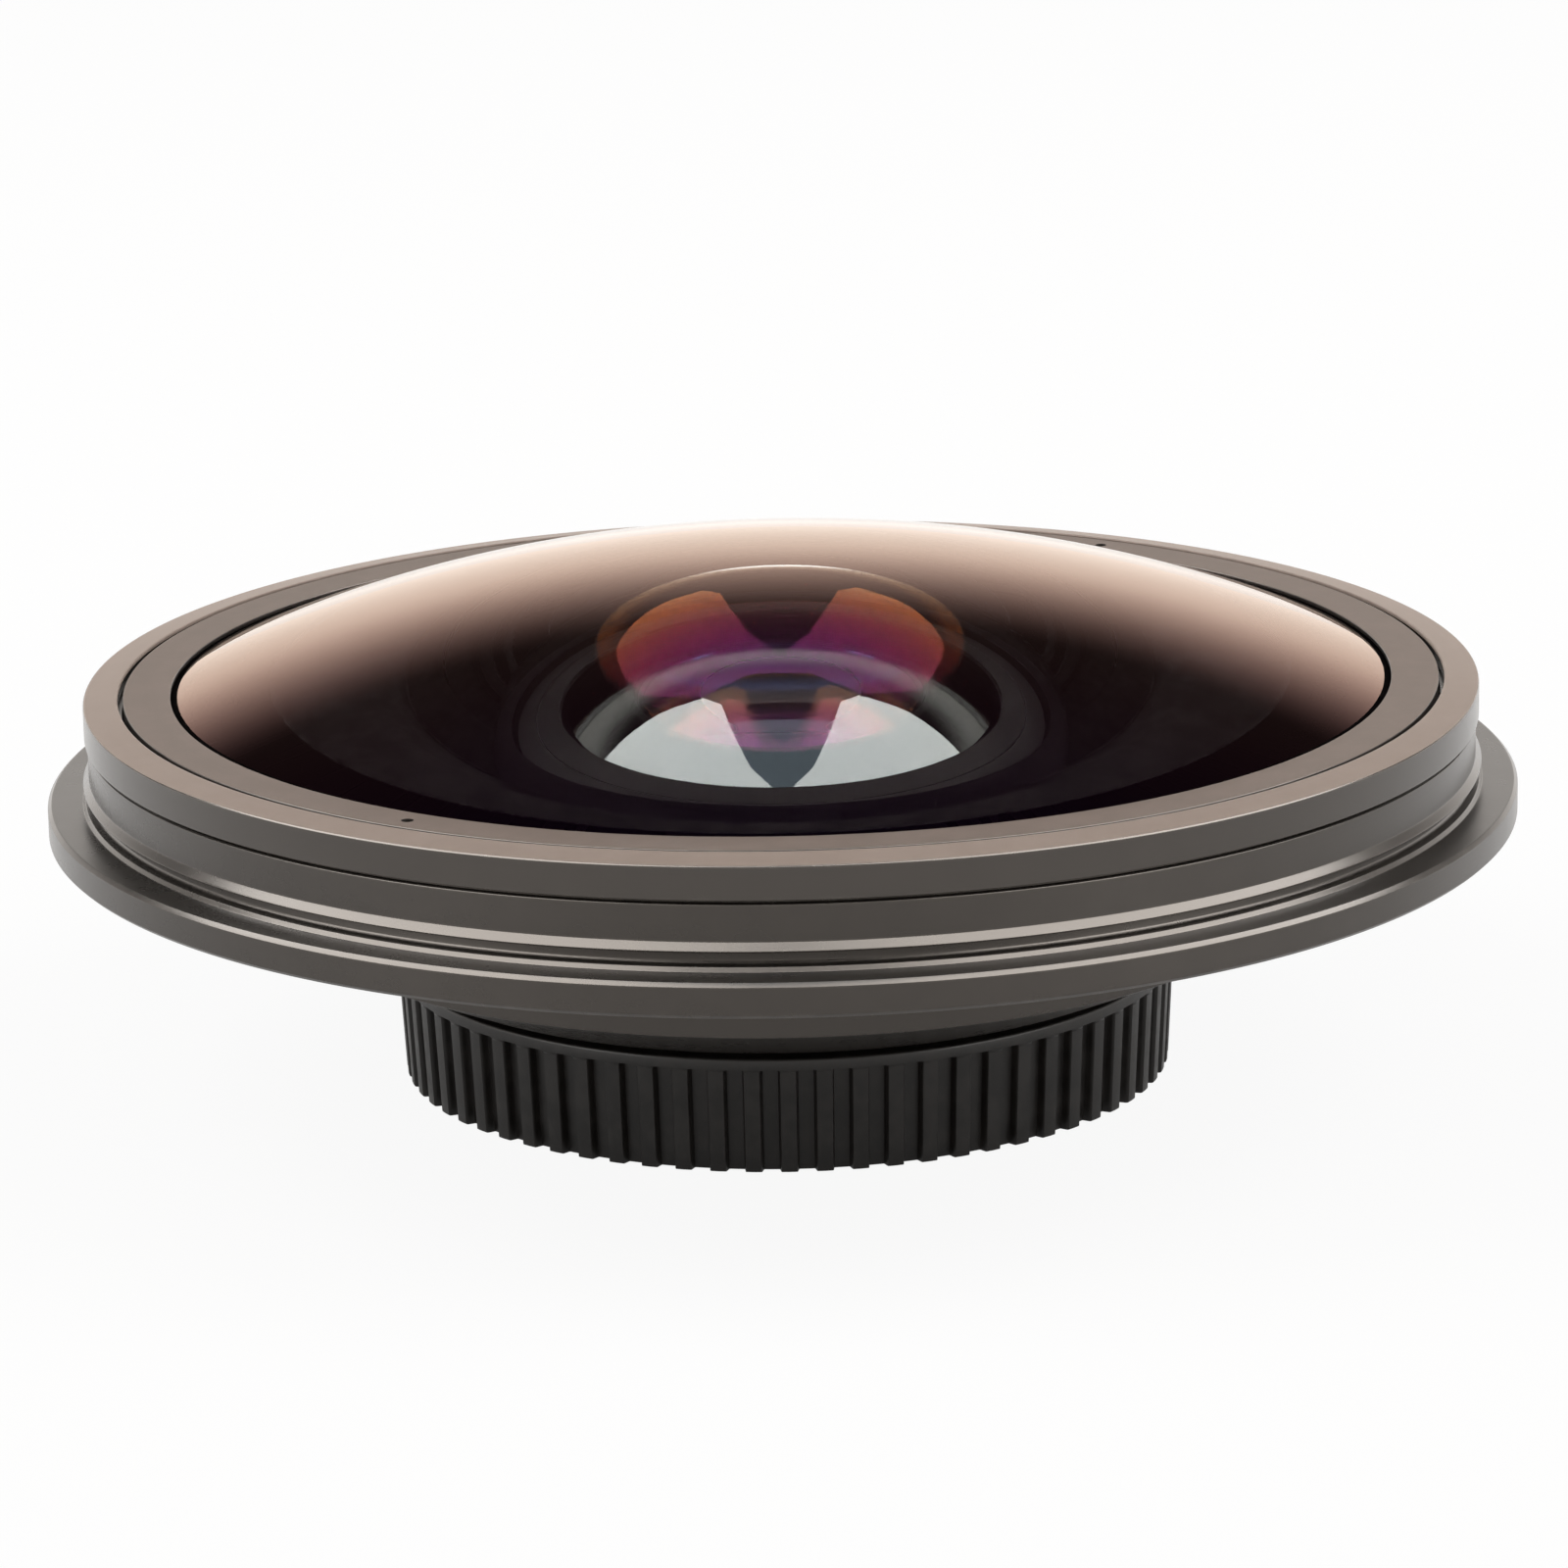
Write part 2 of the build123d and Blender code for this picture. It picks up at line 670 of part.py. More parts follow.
# Collar holding ring: screws onto the end of the neck
with BuildPart() as collar_holding_ring:
    neck_shoulder_z = bell_bottom_z - neck_length + neck_thread_length
    holding_ring_z = neck_shoulder_z - seat_gap - holding_ring_height
    with BuildSketch(Plane.XZ):
        ring_section(
            neck_thread_r + thread_fit,
            holding_ring_r,
            holding_ring_z,
            holding_ring_z + holding_ring_height,
        )
    revolve(axis=Axis.Z)
    spanner_slot(holding_ring_r, holding_ring_z)
collar_holding_ring.part.label = "collar_holding_ring"
export_step(collar_holding_ring.part, "parts/collar_holding_ring.step")

# Lower slip washer, between the holding ring and the collar
with BuildPart() as lower_slip_washer:
    lower_washer_z = holding_ring_z + holding_ring_height
    with BuildSketch(Plane.XZ):
        ring_section(
            lower_washer_bore_r,
            holding_ring_r,
            lower_washer_z,
            lower_washer_z + lower_washer_height,
        )
    revolve(axis=Axis.Z)
lower_slip_washer.part.label = "lower_slip_washer"
export_step(lower_slip_washer.part, "parts/lower_slip_washer.step")

# Mount collar: runs on the neck, with the male screw mount inside a skirt
with BuildPart() as mount_collar:
    web_top_z = upper_washer_z - collar_float
    web_z = lower_washer_z + lower_washer_height + collar_float
    with BuildSketch(Plane.XZ):
        with BuildLine():
            Polyline(
                (collar_bore_r, web_z),
                (mount_spigot_bore_r, web_z),
                (mount_spigot_bore_r, mount_spigot_recess),
                (mount_thread_r - mount_thread_chamfer, mount_spigot_recess),
                (mount_thread_r, mount_spigot_recess + mount_thread_chamfer),
                (mount_thread_r, web_z),
                (skirt_bore_r, web_z),
                (skirt_bore_r, skirt_recess),
                (collar_r, skirt_recess),
                (collar_r, web_top_z - collar_edge_chamfer),
                (collar_r - collar_edge_chamfer, web_top_z),
                (collar_bore_r, web_top_z),
                close=True,
            )
        make_face()
    revolve(axis=Axis.Z)
mount_collar.part.label = "mount_collar"
export_step(mount_collar.part, "parts/mount_collar.step")

# Grip ring: moulded ring with tapered ribs that run out at its lower edge
with BuildPart() as grip_ring:
    draft_share = (grip_top_r - grip_bottom_r) / grip_height
    band_z = grip_height - rib_band_height
    band_r = grip_bottom_r + draft_share * band_z
    groove_width = (1 - rib_share) * 2 * pi * grip_bottom_r / rib_count
    with BuildSketch(Plane.XZ):
        with BuildLine():
            Polyline(
                (grip_bore_r, 0),
                (grip_bottom_r, 0),
                (grip_top_r, grip_height - grip_edge_chamfer),
                (grip_top_r - grip_edge_chamfer, grip_height),
                (grip_bore_r, grip_height),
                close=True,
            )
        make_face()
    revolve(axis=Axis.Z)
    with BuildSketch(Plane.XZ):
        with BuildLine():
            Polyline(
                (grip_bottom_r - rib_depth - draft_share * overrun, -overrun),
                (grip_top_r + overrun, -overrun),
                (grip_top_r + overrun, band_z),
                (band_r - rib_depth, band_z),
                close=True,
            )
        make_face()
    groove = extrude(amount=groove_width / 2, both=True, mode=Mode.PRIVATE)
    with PolarLocations(0, rib_count):
        add(groove, mode=Mode.SUBTRACT)
grip_ring.part.label = "grip_ring"
export_step(grip_ring.part, "parts/grip_ring.step")
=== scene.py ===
from math import asin, cos, pi, radians, sin, sqrt, tan

import bmesh
import bpy
from mathutils import Matrix, Vector


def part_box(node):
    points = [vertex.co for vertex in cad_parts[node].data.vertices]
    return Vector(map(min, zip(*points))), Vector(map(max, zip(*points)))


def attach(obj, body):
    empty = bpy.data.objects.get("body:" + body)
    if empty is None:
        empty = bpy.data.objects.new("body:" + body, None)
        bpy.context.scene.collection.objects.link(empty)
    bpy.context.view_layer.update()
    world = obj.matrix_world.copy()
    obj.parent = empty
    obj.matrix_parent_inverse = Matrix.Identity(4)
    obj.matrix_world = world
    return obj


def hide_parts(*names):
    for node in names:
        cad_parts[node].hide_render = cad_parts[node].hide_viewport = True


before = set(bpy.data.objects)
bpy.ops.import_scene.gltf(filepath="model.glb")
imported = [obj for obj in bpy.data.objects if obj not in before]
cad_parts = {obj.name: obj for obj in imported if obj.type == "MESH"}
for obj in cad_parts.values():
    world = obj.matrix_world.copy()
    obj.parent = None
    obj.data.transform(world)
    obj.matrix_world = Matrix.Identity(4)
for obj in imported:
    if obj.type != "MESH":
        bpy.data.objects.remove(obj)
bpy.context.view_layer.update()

# Sizes are in millimetres here, and each mesh is made in metres with this.
MM = 0.001


def extent(node):
    """Lowest z, highest z and outer radius of a turned CAD node, in millimetres."""
    low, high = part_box(node)
    return low.z / MM, high.z / MM, high.x / MM


# Sizes that the frame gives.
HOUSING_END_Z, SPIGOT_TOP_Z, BRIM_R = extent("main_housing")
FRONT_SEAT_Z, FRONT_LIP_TOP_Z, WALL_R = extent("front_ring")
GLASS_RING_Z, GLASS_RING_TOP_Z, GLASS_RING_R = extent("glass_retaining_ring")
FRONT_SKIRT_Z, DOME_Z, FRONT_RIM_R = extent("front_element")
TUBE_END_Z, FLANGE_TOP_Z, FLANGE_R = extent("optical_barrel")
CUP_SEAT_Z, SECOND_DOME_Z, SECOND_RIM_R = extent("second_element")
SECOND_RING_Z, SECOND_RING_TOP_Z, SECOND_RING_R = extent("second_retaining_ring")
BAFFLE_FOOT_Z, BAFFLE_TOP_Z, BAFFLE_R = extent("baffle_ring")
THIRD_BACK_Z, THIRD_DOME_Z, REAR_RIM_R = extent("third_element")
SPACER_Z, SPACER_TOP_Z, _ = extent("rear_spacer")
STOP_Z, STOP_TOP_Z, _ = extent("aperture_stop")
CEMENT_Z, CROWN_DOME_Z, _ = extent("doublet_front")
FLINT_BACK_Z, _, _ = extent("doublet_rear")
REAR_RING_Z, REAR_RING_TOP_Z, _ = extent("rear_retaining_ring")
_, BELL_BOTTOM_Z, _ = extent("upper_slip_washer")
HOLDING_RING_Z, HOLDING_RING_TOP_Z, HOLDING_RING_R = extent("collar_holding_ring")
COLLAR_Z, COLLAR_TOP_Z, COLLAR_R = extent("mount_collar")
GRIP_Z, GRIP_TOP_Z, GRIP_TOP_R = extent("grip_ring")

# Housing
BRIM_TOP_Z = 19.7
BRIM_BOTTOM_Z = 17.45
BRIM_CHAMFER = 0.25
STEP_R = 46.65
STEP_HEIGHT = 0.3
COVE_R = 45.85
COVE_STEPS = 6
WALL_BOTTOM_Z = 20.9
WALL_CHAMFER = 0.5
FLARE_R = 46.62
FLARE_LIP = 0.08
WAIST_R = 46.2
SPIGOT_R = 45.15
GLASS_THREAD_R = 43.8
GLASS_THREAD_RUNOUT = 0.2
GLASS_PLAY = 0.05  # radial, round the front glass
GLASS_SEAT_Z = 20.0
SEAL_GROOVE_R = 38.8
SEAL_GROOVE_HALF = 0.75
SEAL_GROOVE_DEPTH = 1.23
BELL_R = 34.0
BELL_BORE_R = 31.6
HOUSING_FLOOR_Z = 11.6
CONE_END_R = 26.5
CONE_TOP_Z = 11.6
CUP_WELL_R = 22.4
CUP_WELL_Z = 10.0
NECK_R = 17.95
NECK_BORE_R = 15.3
NECK_THREAD_R = 17.0
NECK_SHOULDER_Z = 3.95

# Front ring and glass retaining ring
FRONT_GROOVE_DEPTH = 0.5
FRONT_GROOVE_TOP_Z = 24.1
FRONT_RING_TOP_Z = 26.3  # at its outer edge, the top rises to the inner edge
FRONT_TOP_BEVEL = 0.07
FRONT_RING_BORE_R = 45.2
FRONT_LIP_R = 44.1
FRONT_LIP_HEIGHT = 0.9
GLASS_RING_BORE_R = 40.6
GLASS_RING_SKIRT_R = 42.1
GLASS_RING_LIP = 0.85
LIP_CLEARANCE = 0.03  # between a retaining ring's lip and its glass
SPANNER_HOLE_R = 0.4
SPANNER_HOLE_DEPTH = 1.2
SPANNER_HOLE_PLACE_R = 42.3
SPANNER_HOLE_ANGLE = 236.8

# Front element
FRONT_EDGE_Z = 25.67
FRONT_BOWL_Z = 31.3
FRONT_BOWL_R = 23.8
FRONT_SKIRT_R = 31.3
FRONT_CLEAR_R = 40.15  # of the dome. Out from it the dome is black: hidden under the ring's lip, and in a thin band just inside the lip that is painted shade of the gap there
FRONT_RIM_CHAMFER = 0.25
FRONT_RIM_LAND = 0.08  # height of the rim's chamfer over the dome's edge

# Optical barrel
BARREL_TUBE_R = 15.25
BARREL_BORE_R = 12.55
BARREL_APERTURE_R = 12.0
BARREL_SHOULDER_Z = 9.95
CUP_R = 22.1
CUP_BORE_R = 19.55
CUP_THREAD_R = 20.5
CUP_THREAD_DEPTH = 1.7
FLANGE_HOLE_R = 1.15
SCREW_PLACE_R = 25.1
SCREW_COUNT = 4
SCREW_FIRST_ANGLE = 45.0

# Second element, its ring and the baffle
SECOND_EDGE_Z = 11.75
SECOND_BOWL_Z = 13.51
SECOND_BOWL_R = 12.6
SECOND_RING_BORE_R = 18.5
SECOND_RING_SKIRT_R = 19.7
BAFFLE_FOOT_R = 23.0
BAFFLE_PLATE_HEIGHT = 0.45

# Rear group
REAR_OPTIC_R = 11.6
REAR_RING_BORE_R = 11.63
THIRD_EDGE_Z = 8.85
STOP_R = 6.5
STOP_PLATE_HEIGHT = 0.4
CROWN_EDGE_Z = 5.65
CEMENT = 0.02  # between the doublet's two glasses
FLINT_EDGE_Z = 2.7
SLOT_WIDTH = 1.0
SLOT_DEPTH = 0.6

# Collar
COLLAR_BORE_R = 18.0
COLLAR_WEB_Z = 4.22
MOUNT_SPIGOT_BORE_R = 19.7
MOUNT_SPIGOT_Z = 0.55
MOUNT_THREAD_R = 21.5
MOUNT_THREAD_CHAMFER = 0.3
MOUNT_THREAD_RUNOUT = 0.5
MOUNT_THREAD_PITCH = 0.75
MOUNT_THREAD_DEPTH = 0.4
MOUNT_THREAD_FLANK = 1.15  # how steep, 1 for a groove that is sharp at its bottom
MOUNT_THREAD_FADE = 0.25  # height over which the thread starts and ends
SKIRT_BORE_R = 23.4
HOLDING_RING_BORE_R = 17.05

# Grip ring
GRIP_BORE_R = 24.53
GRIP_WALL = 0.3  # from the bore, never cut by a groove
GRIP_BOTTOM_R = 25.75
GRIP_BAND_HEIGHT = 0.8
GRIP_BAND_EDGE = 0.02  # height over which the band begins
GRIP_WALL_END = 0.2  # under the band
GRIP_FOOT_EDGE = ((0.1, 0.0), (0.03, 0.03), (0.0, 0.1))  # inwards and up
GRIP_TOP_EDGE = ((0.0, 0.2), (0.04, 0.08), (0.12, 0.02), (0.2, 0.0))  # inwards and down
RIB_COUNT = 70
RIB_SHARE = 0.5
RIB_DEPTH = 0.6
RIB_SIDE = 0.035  # width of a rib's sloping side, as a share of the pitch
RIB_RUN_OUT = 0.12  # height over which the grooves end under the band

# Rounded edges: their radius in general, then on single pieces
EDGE_EASE = 0.06
FRONT_RING_EASE = 0.1
GLASS_RING_EASE = 0.09
THIN_RING_EASE = 0.05
HOLDING_RING_EASE = 0.1
STOP_EASE = 0.03
EASE_STEPS = 3
EASE_LIMIT = 0.4  # of a side, the most that a rounding takes
EDGE_FADE = 0.12  # how far the worn finish reaches from a corner
FADE_ROOM = 2.5  # a side shorter than this many fades is worn all along
STRAIGHT = radians(172)  # a corner flatter than this isn't rounded

# Steps and limits of the meshes
TURN_STEPS = 288  # facets round a turned piece
FACE_STEPS = 60  # rings over a large lens face
REAR_FACE_STEPS = 40  # rings over a small one
THREAD_STEPS = 10  # rings over a turn of the thread
GRIP_WALL_STEPS = 5
HOLE_SIDES = 24
CUTTER_OVERRUN = 1.0  # how far a cutter reaches past the piece
ON_AXIS = 1e-6  # a point with a smaller radius is on the axis
SAME_R = 0.001  # radii that differ by less are the same
TOP_WITHIN = 0.02  # a face that is no lower belongs to the top

# Angles in degrees over which an edge is shaded sharp
METAL_SHARP = 40
CUT_SHARP = 30
LENS_SHARP = 20
THREAD_SHARP = 35
RIB_SHARP = 50

ROUND = [2 * pi * k / TURN_STEPS for k in range(TURN_STEPS)]


# Half sections


def eased(points, ease=EDGE_EASE, kept=()):
    """A closed half section of (r, z) points with all corners but the kept ones rounded.

    Gives (r, z, edge) points. edge is 1 round a corner and 0 a little way along its sides."""
    result = []
    for i, point in enumerate(points):
        here = Vector(point)
        before = Vector(points[i - 1]) - here
        after = Vector(points[(i + 1) % len(points)]) - here
        turn = before.angle(after)
        if point in kept or turn > STRAIGHT:
            result.append((here.x, here.y, 0.0))
            continue
        reach = min(ease / tan(turn / 2), before.length * EASE_LIMIT, after.length * EASE_LIMIT)
        start = here + before.normalized() * reach
        end = here + after.normalized() * reach
        if before.length > FADE_ROOM * (reach + EDGE_FADE):
            fade = here + before.normalized() * (reach + EDGE_FADE)
            result.append((fade.x, fade.y, 0.0))
        for k in range(EASE_STEPS + 1):
            t = k / EASE_STEPS
            p = start * (1 - t) ** 2 + here * 2 * t * (1 - t) + end * t**2
            result.append((p.x, p.y, 1.0))
        if after.length > FADE_ROOM * (reach + EDGE_FADE):
            fade = here + after.normalized() * (reach + EDGE_FADE)
            result.append((fade.x, fade.y, 0.0))
    return result


def ring_section(bore_r, outer_r, low_z, high_z):
    """Half section of a plain ring."""
    return [(bore_r, low_z), (outer_r, low_z), (outer_r, high_z), (bore_r, high_z)]


def face_curve(center_z, edge_z, edge_r):
    """Radius of a spherical lens face from the height of its middle and its edge."""
    rise = center_z - edge_z
    return (edge_r**2 + rise**2) / (2 * abs(rise))


def face_arc(center_z, edge_z, edge_r, steps=FACE_STEPS):
    """Points of a spherical lens face, from the axis to its edge."""
    curve = face_curve(center_z, edge_z, edge_r)
    side = 1 if center_z > edge_z else -1
    points = []
    for k in range(steps + 1):
        angle = asin(edge_r / curve) * k / steps
        points.append((curve * sin(angle), center_z - side * curve * (1 - cos(angle))))
    return points


def dome_height(center_z, edge_z, edge_r, r):
    """Height of a domed lens face at radius r."""
    curve = face_curve(center_z, edge_z, edge_r)
    return center_z - curve + sqrt(curve**2 - r**2)


def top_faces(section, top_z):
    """Gives the second material, a lighter colour that stands in for the light on them, to the faces
    of a section that lie at its top.
    """

    def slot_of(i):
        lowest = min(section[i][1], section[(i + 1) % len(section)][1])
        return 1 if lowest > top_z - TOP_WITHIN else 0

    return slot_of


# Meshes


def add_object(name, bm):
    """Puts a finished bmesh into the scene as an object."""
    mesh = bpy.data.meshes.new(name)
    bm.to_mesh(mesh)
    bm.free()
    made = bpy.data.objects.new(name, mesh)
    bpy.context.scene.collection.objects.link(made)
    return made


def turned_mesh(section, angles=ROUND, slot_of=None, relief=None):
    """Faces turned round the axis from a closed half section of (r, z) or (r, z, edge) points.

    slot_of(i) gives the finish of the faces after point i, and relief(angle, r, z) gives a point's
    own radius where the piece isn't round."""
    bm = bmesh.new()
    wear = bm.verts.layers.float.new("edge")
    rings = []
    for point in section:
        r, z = point[:2]
        if r < ON_AXIS:
            rings.append([bm.verts.new((0, 0, z * MM))])
            continue
        ring = []
        for angle in angles:
            own_r = relief(angle, r, z) if relief else r
            vert = bm.verts.new((own_r * cos(angle) * MM, own_r * sin(angle) * MM, z * MM))
            vert[wear] = point[2] if len(point) > 2 else 0.0
            ring.append(vert)
        rings.append(ring)
    for i, low in enumerate(rings):
        high = rings[(i + 1) % len(rings)]
        if len(low) == 1 and len(high) == 1:
            continue
        for k in range(len(angles)):
            n = (k + 1) % len(angles)
            if len(low) == 1:
                corners = [low[0], high[k], high[n]]
            elif len(high) == 1:
                corners = [low[n], low[k], high[0]]
            else:
                corners = [low[n], low[k], high[k], high[n]]
            face = bm.faces.new(corners)
            face.material_index = slot_of(i) if slot_of else 0
            face.smooth = True
    bmesh.ops.recalc_face_normals(bm, faces=bm.faces)
    return bm


def turned(node, section, slot, finishes, body="lens_body", sharp=METAL_SHARP, **form):
    """A finer piece in place of a CAD node. form is what turned_mesh takes after the section."""
    piece = add_object(node + "_fine", turned_mesh(section, **form))
    piece.data.set_sharp_from_angle(angle=radians(sharp))
    for material in finishes:
        piece.data.materials.append(material)
    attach(piece, body)
    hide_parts(node)
    return piece


def make_lens(node, slot, front, edge, back, finish, back_finish=None):
    """A lens from the arcs of its faces and the points of its edge. The edge takes black ink, and so
    does any strip of face between the front arc and the edge; where that strip shows, it is painted
    shade.
    """
    section = front + edge + back[::-1]
    ink_and_shade_faces = range(len(front) - 1, len(front) + len(edge))
    finishes = [finish, LENS_INK_AND_SHADE]
    if back_finish:
        finishes.append(back_finish)

    def slot_of(i):
        if i in ink_and_shade_faces:
            return 1
        return 2 if back_finish and i >= len(front) else 0

    return turned(node, section, slot, finishes, sharp=LENS_SHARP, slot_of=slot_of)


def cut(piece, tools):
    """Cuts the tools' shapes out of a piece and removes them."""
    for tool in tools:
        modifier = piece.modifiers.new("cut", "BOOLEAN")
        modifier.operation = "DIFFERENCE"
        modifier.solver = "EXACT"
        modifier.object = tool
    bpy.context.view_layer.update()
    graph = bpy.context.evaluated_depsgraph_get()
    mesh = bpy.data.meshes.new_from_object(piece.evaluated_get(graph))
    old = piece.data
    piece.modifiers.clear()
    piece.data = mesh
    mesh.name = old.name
    bpy.data.meshes.remove(old)
    mesh.set_sharp_from_angle(angle=radians(CUT_SHARP))
    for tool in tools:
        bpy.data.meshes.remove(tool.data)


def drill(radius, low_z, high_z, place_r, angle):
    """A round cutter along the axis at place_r and angle, in degrees."""
    turn = radians(angle)
    center = Vector((place_r * cos(turn), place_r * sin(turn), (low_z + high_z) / 2))
    bm = bmesh.new()
    bmesh.ops.create_cone(
        bm,
        cap_ends=True,
        segments=HOLE_SIDES,
        radius1=radius * MM,
        radius2=radius * MM,
        depth=(high_z - low_z) * MM,
        matrix=Matrix.Translation(center * MM),
    )
    return add_object("cutter", bm)


def spanner_slot(ring_r, bottom_z):
    """A straight cutter across a ring's underside."""
    low_z = bottom_z - CUTTER_OVERRUN
    high_z = bottom_z + SLOT_DEPTH
    length = 2 * (ring_r + CUTTER_OVERRUN)
    size = Matrix.Diagonal((length * MM, SLOT_WIDTH * MM, (high_z - low_z) * MM, 1))
    place = Matrix.Translation((0, 0, (low_z + high_z) / 2 * MM))
    bm = bmesh.new()
    bmesh.ops.create_cube(bm, size=1.0, matrix=place @ size)
    return add_object("cutter", bm)


# Shader building


class Shading:
    """A node tree with short ways to add and join its nodes."""

    def __init__(self, tree):
        self.tree = tree

    def add(self, kind, **settings):
        node = self.tree.nodes.new(kind)
        for key, value in settings.items():
            setattr(node, key, value)
        return node

    def join(self, source, target):
        self.tree.links.new(source, target)

    def feed(self, value, target):
        """Joins an output to an input, or writes a plain value into it."""
        if isinstance(value, bpy.types.NodeSocket):
            self.join(value, target)
        else:
            target.default_value = value

    def math(self, operation, a, b=0.0, clamp=False):
        node = self.add("ShaderNodeMath", operation=operation, use_clamp=clamp)
        self.feed(a, node.inputs[0])
        self.feed(b, node.inputs[1])
        return node.outputs[0]

    def remap(self, value, low, high, to_low=0.0, to_high=1.0, smooth=True):
        node = self.add("ShaderNodeMapRange")
        if smooth:
            node.interpolation_type = "SMOOTHSTEP"
        self.feed(value, node.inputs["Value"])
        self.feed(low, node.inputs["From Min"])
        self.feed(high, node.inputs["From Max"])
        self.feed(to_low, node.inputs["To Min"])
        self.feed(to_high, node.inputs["To Max"])
        return node.outputs["Result"]

    def mix(self, factor, a, b):
        """A colour between a and b."""
        node = self.add("ShaderNodeMix", data_type="RGBA")
        self.feed(factor, node.inputs["Factor"])
        self.feed(a, node.inputs[6])
        self.feed(b, node.inputs[7])
        return node.outputs[2]

    def mix_number(self, factor, a, b):
        """A number between a and b."""
        node = self.add("ShaderNodeMix", data_type="FLOAT")
        self.feed(factor, node.inputs["Factor"])
        self.feed(a, node.inputs[2])
        self.feed(b, node.inputs[3])
        return node.outputs[0]

    def mix_shader(self, factor, a, b):
        node = self.add("ShaderNodeMixShader")
        for source, target in zip((factor, a, b), node.inputs):
            self.join(source, target)
        return node.outputs[0]

    def noise(self, vector, scale, detail, roughness):
        node = self.add("ShaderNodeTexNoise")
        self.feed(vector, node.inputs["Vector"])
        self.feed(scale, node.inputs["Scale"])
        self.feed(detail, node.inputs["Detail"])
        self.feed(roughness, node.inputs["Roughness"])
        return node.outputs["Fac"]

    def place(self):
        """Object coordinates, in metres."""
        return self.add("ShaderNodeTexCoord").outputs["Object"]

    def place_mm(self):
        """Object coordinates, in millimetres."""
        scale = self.add("ShaderNodeVectorMath", operation="SCALE")
        self.join(self.place(), scale.inputs[0])
        scale.inputs["Scale"].default_value = 1 / MM
        return scale.outputs[0]

    def split(self, vector):
        node = self.add("ShaderNodeSeparateXYZ")
        self.join(vector, node.inputs[0])
        return node.outputs

    def vector(self, x, y, z):
        node = self.add("ShaderNodeCombineXYZ")
        for value, target in zip((x, y, z), node.inputs):
            self.feed(value, target)
        return node.outputs[0]


def new_group(name, inputs, outputs):
    """An empty node group with named number sockets. inputs maps a name to its default value."""
    tree = bpy.data.node_groups.new(name, "ShaderNodeTree")
    for socket, default in inputs.items():
        made = tree.interface.new_socket(socket, in_out="INPUT", socket_type="NodeSocketFloat")
        made.default_value = default
    for socket in outputs:
        tree.interface.new_socket(socket, in_out="OUTPUT", socket_type="NodeSocketFloat")
    shading = Shading(tree)
    return shading, shading.add("NodeGroupInput").outputs, shading.add("NodeGroupOutput").inputs


def place_group(shading, group, **values):
    """Puts a group into a material with its own values and returns its outputs."""
    node = shading.add("ShaderNodeGroup", node_tree=group)
    for key, value in values.items():
        shading.feed(value, node.inputs[key.replace("_", " ")])
    return node.outputs


def empty_material(name):
    """A material without nodes, and its shading."""
    material = bpy.data.materials.new(name)
    material.use_nodes = True
    material.node_tree.nodes.clear()
    return material, Shading(material.node_tree)


def show(shading, surface, kind="ShaderNodeOutputMaterial"):
    """Makes a shader the surface of its material, or of the world."""
    shading.join(surface, shading.add(kind).inputs["Surface"])


def new_material(name):
    """A material with a Principled shader: the material, its shading and the shader's inputs."""
    material, shading = empty_material(name)
    shader = shading.add("ShaderNodeBsdfPrincipled")
    show(shading, shader.outputs[0])
    return material, shading, shader.inputs


def add_bump(shading, shader, height, distance):
    """A Bump node with a height in units of distance, in millimetres."""
    bump = shading.add("ShaderNodeBump")
    bump.inputs["Strength"].default_value = 1.0
    bump.inputs["Distance"].default_value = distance * MM
    shading.join(height, bump.inputs["Height"])
    shading.join(bump.outputs[0], shader["Normal"])


# Finish groups


def turning_marks():
    """Fine rings that a lathe leaves, which follow radius and height, and a slow drift of tone."""
    shading, given, gives = new_group(
        "turning_marks",
        {"Rings per mm": 5.0, "Waviness": 0.15, "Drifts per mm": 0.35},
        ("Height", "Tone"),
    )
    x, y, along = shading.split(shading.place_mm())
    squares = shading.math("ADD", shading.math("MULTIPLY", x, x), shading.math("MULTIPLY", y, y))
    across = shading.math("SQRT", squares)
    angle = shading.math("ARCTAN2", y, x)
    sway = shading.math("MULTIPLY", angle, given["Waviness"])
    line = shading.vector(across, along, sway)
    marks = shading.noise(line, given["Rings per mm"], detail=3.0, roughness=0.6)
    shading.join(marks, gives["Height"])
    round_it = shading.vector(across, along, angle)
    drift = shading.noise(round_it, given["Drifts per mm"], detail=2.0, roughness=0.5)
    shading.join(shading.remap(drift, low=0.3, high=0.7), gives["Tone"])
    return shading.tree


def blasted_grain():
    """Fine even grain of a blasted or moulded skin."""
    shading, given, gives = new_group(
        "blasted_grain",
        {"Grains per mm": 8.0, "Clumps per mm": 0.5},
        ("Height", "Mottle"),
    )
    spot = shading.place_mm()
    fine = shading.noise(spot, given["Grains per mm"], detail=3.0, roughness=0.55)
    shading.join(fine, gives["Height"])
    clump = shading.noise(spot, given["Clumps per mm"], detail=3.0, roughness=0.6)
    shading.join(shading.remap(clump, low=0.35, high=0.7), gives["Mottle"])
    return shading.tree


def handled_edges():
    """A broken mask along the rounded edges, where a black finish has thinned."""
    shading, given, gives = new_group(
        "handled_edges",
        {"Amount": 0.5, "Breaks per mm": 0.6},
        ("Mask",),
    )
    edge = shading.add("ShaderNodeAttribute", attribute_name="edge").outputs["Fac"]
    breaks = shading.noise(shading.place_mm(), given["Breaks per mm"], detail=4.0, roughness=0.65)
    worn = shading.remap(breaks, low=0.42, high=0.68)
    mask = shading.math("MULTIPLY", shading.math("MULTIPLY", edge, worn), given["Amount"], clamp=True)
    shading.join(mask, gives["Mask"])
    return shading.tree


MARKS = turning_marks()
GRAIN = blasted_grain()
EDGES = handled_edges()


# Materials

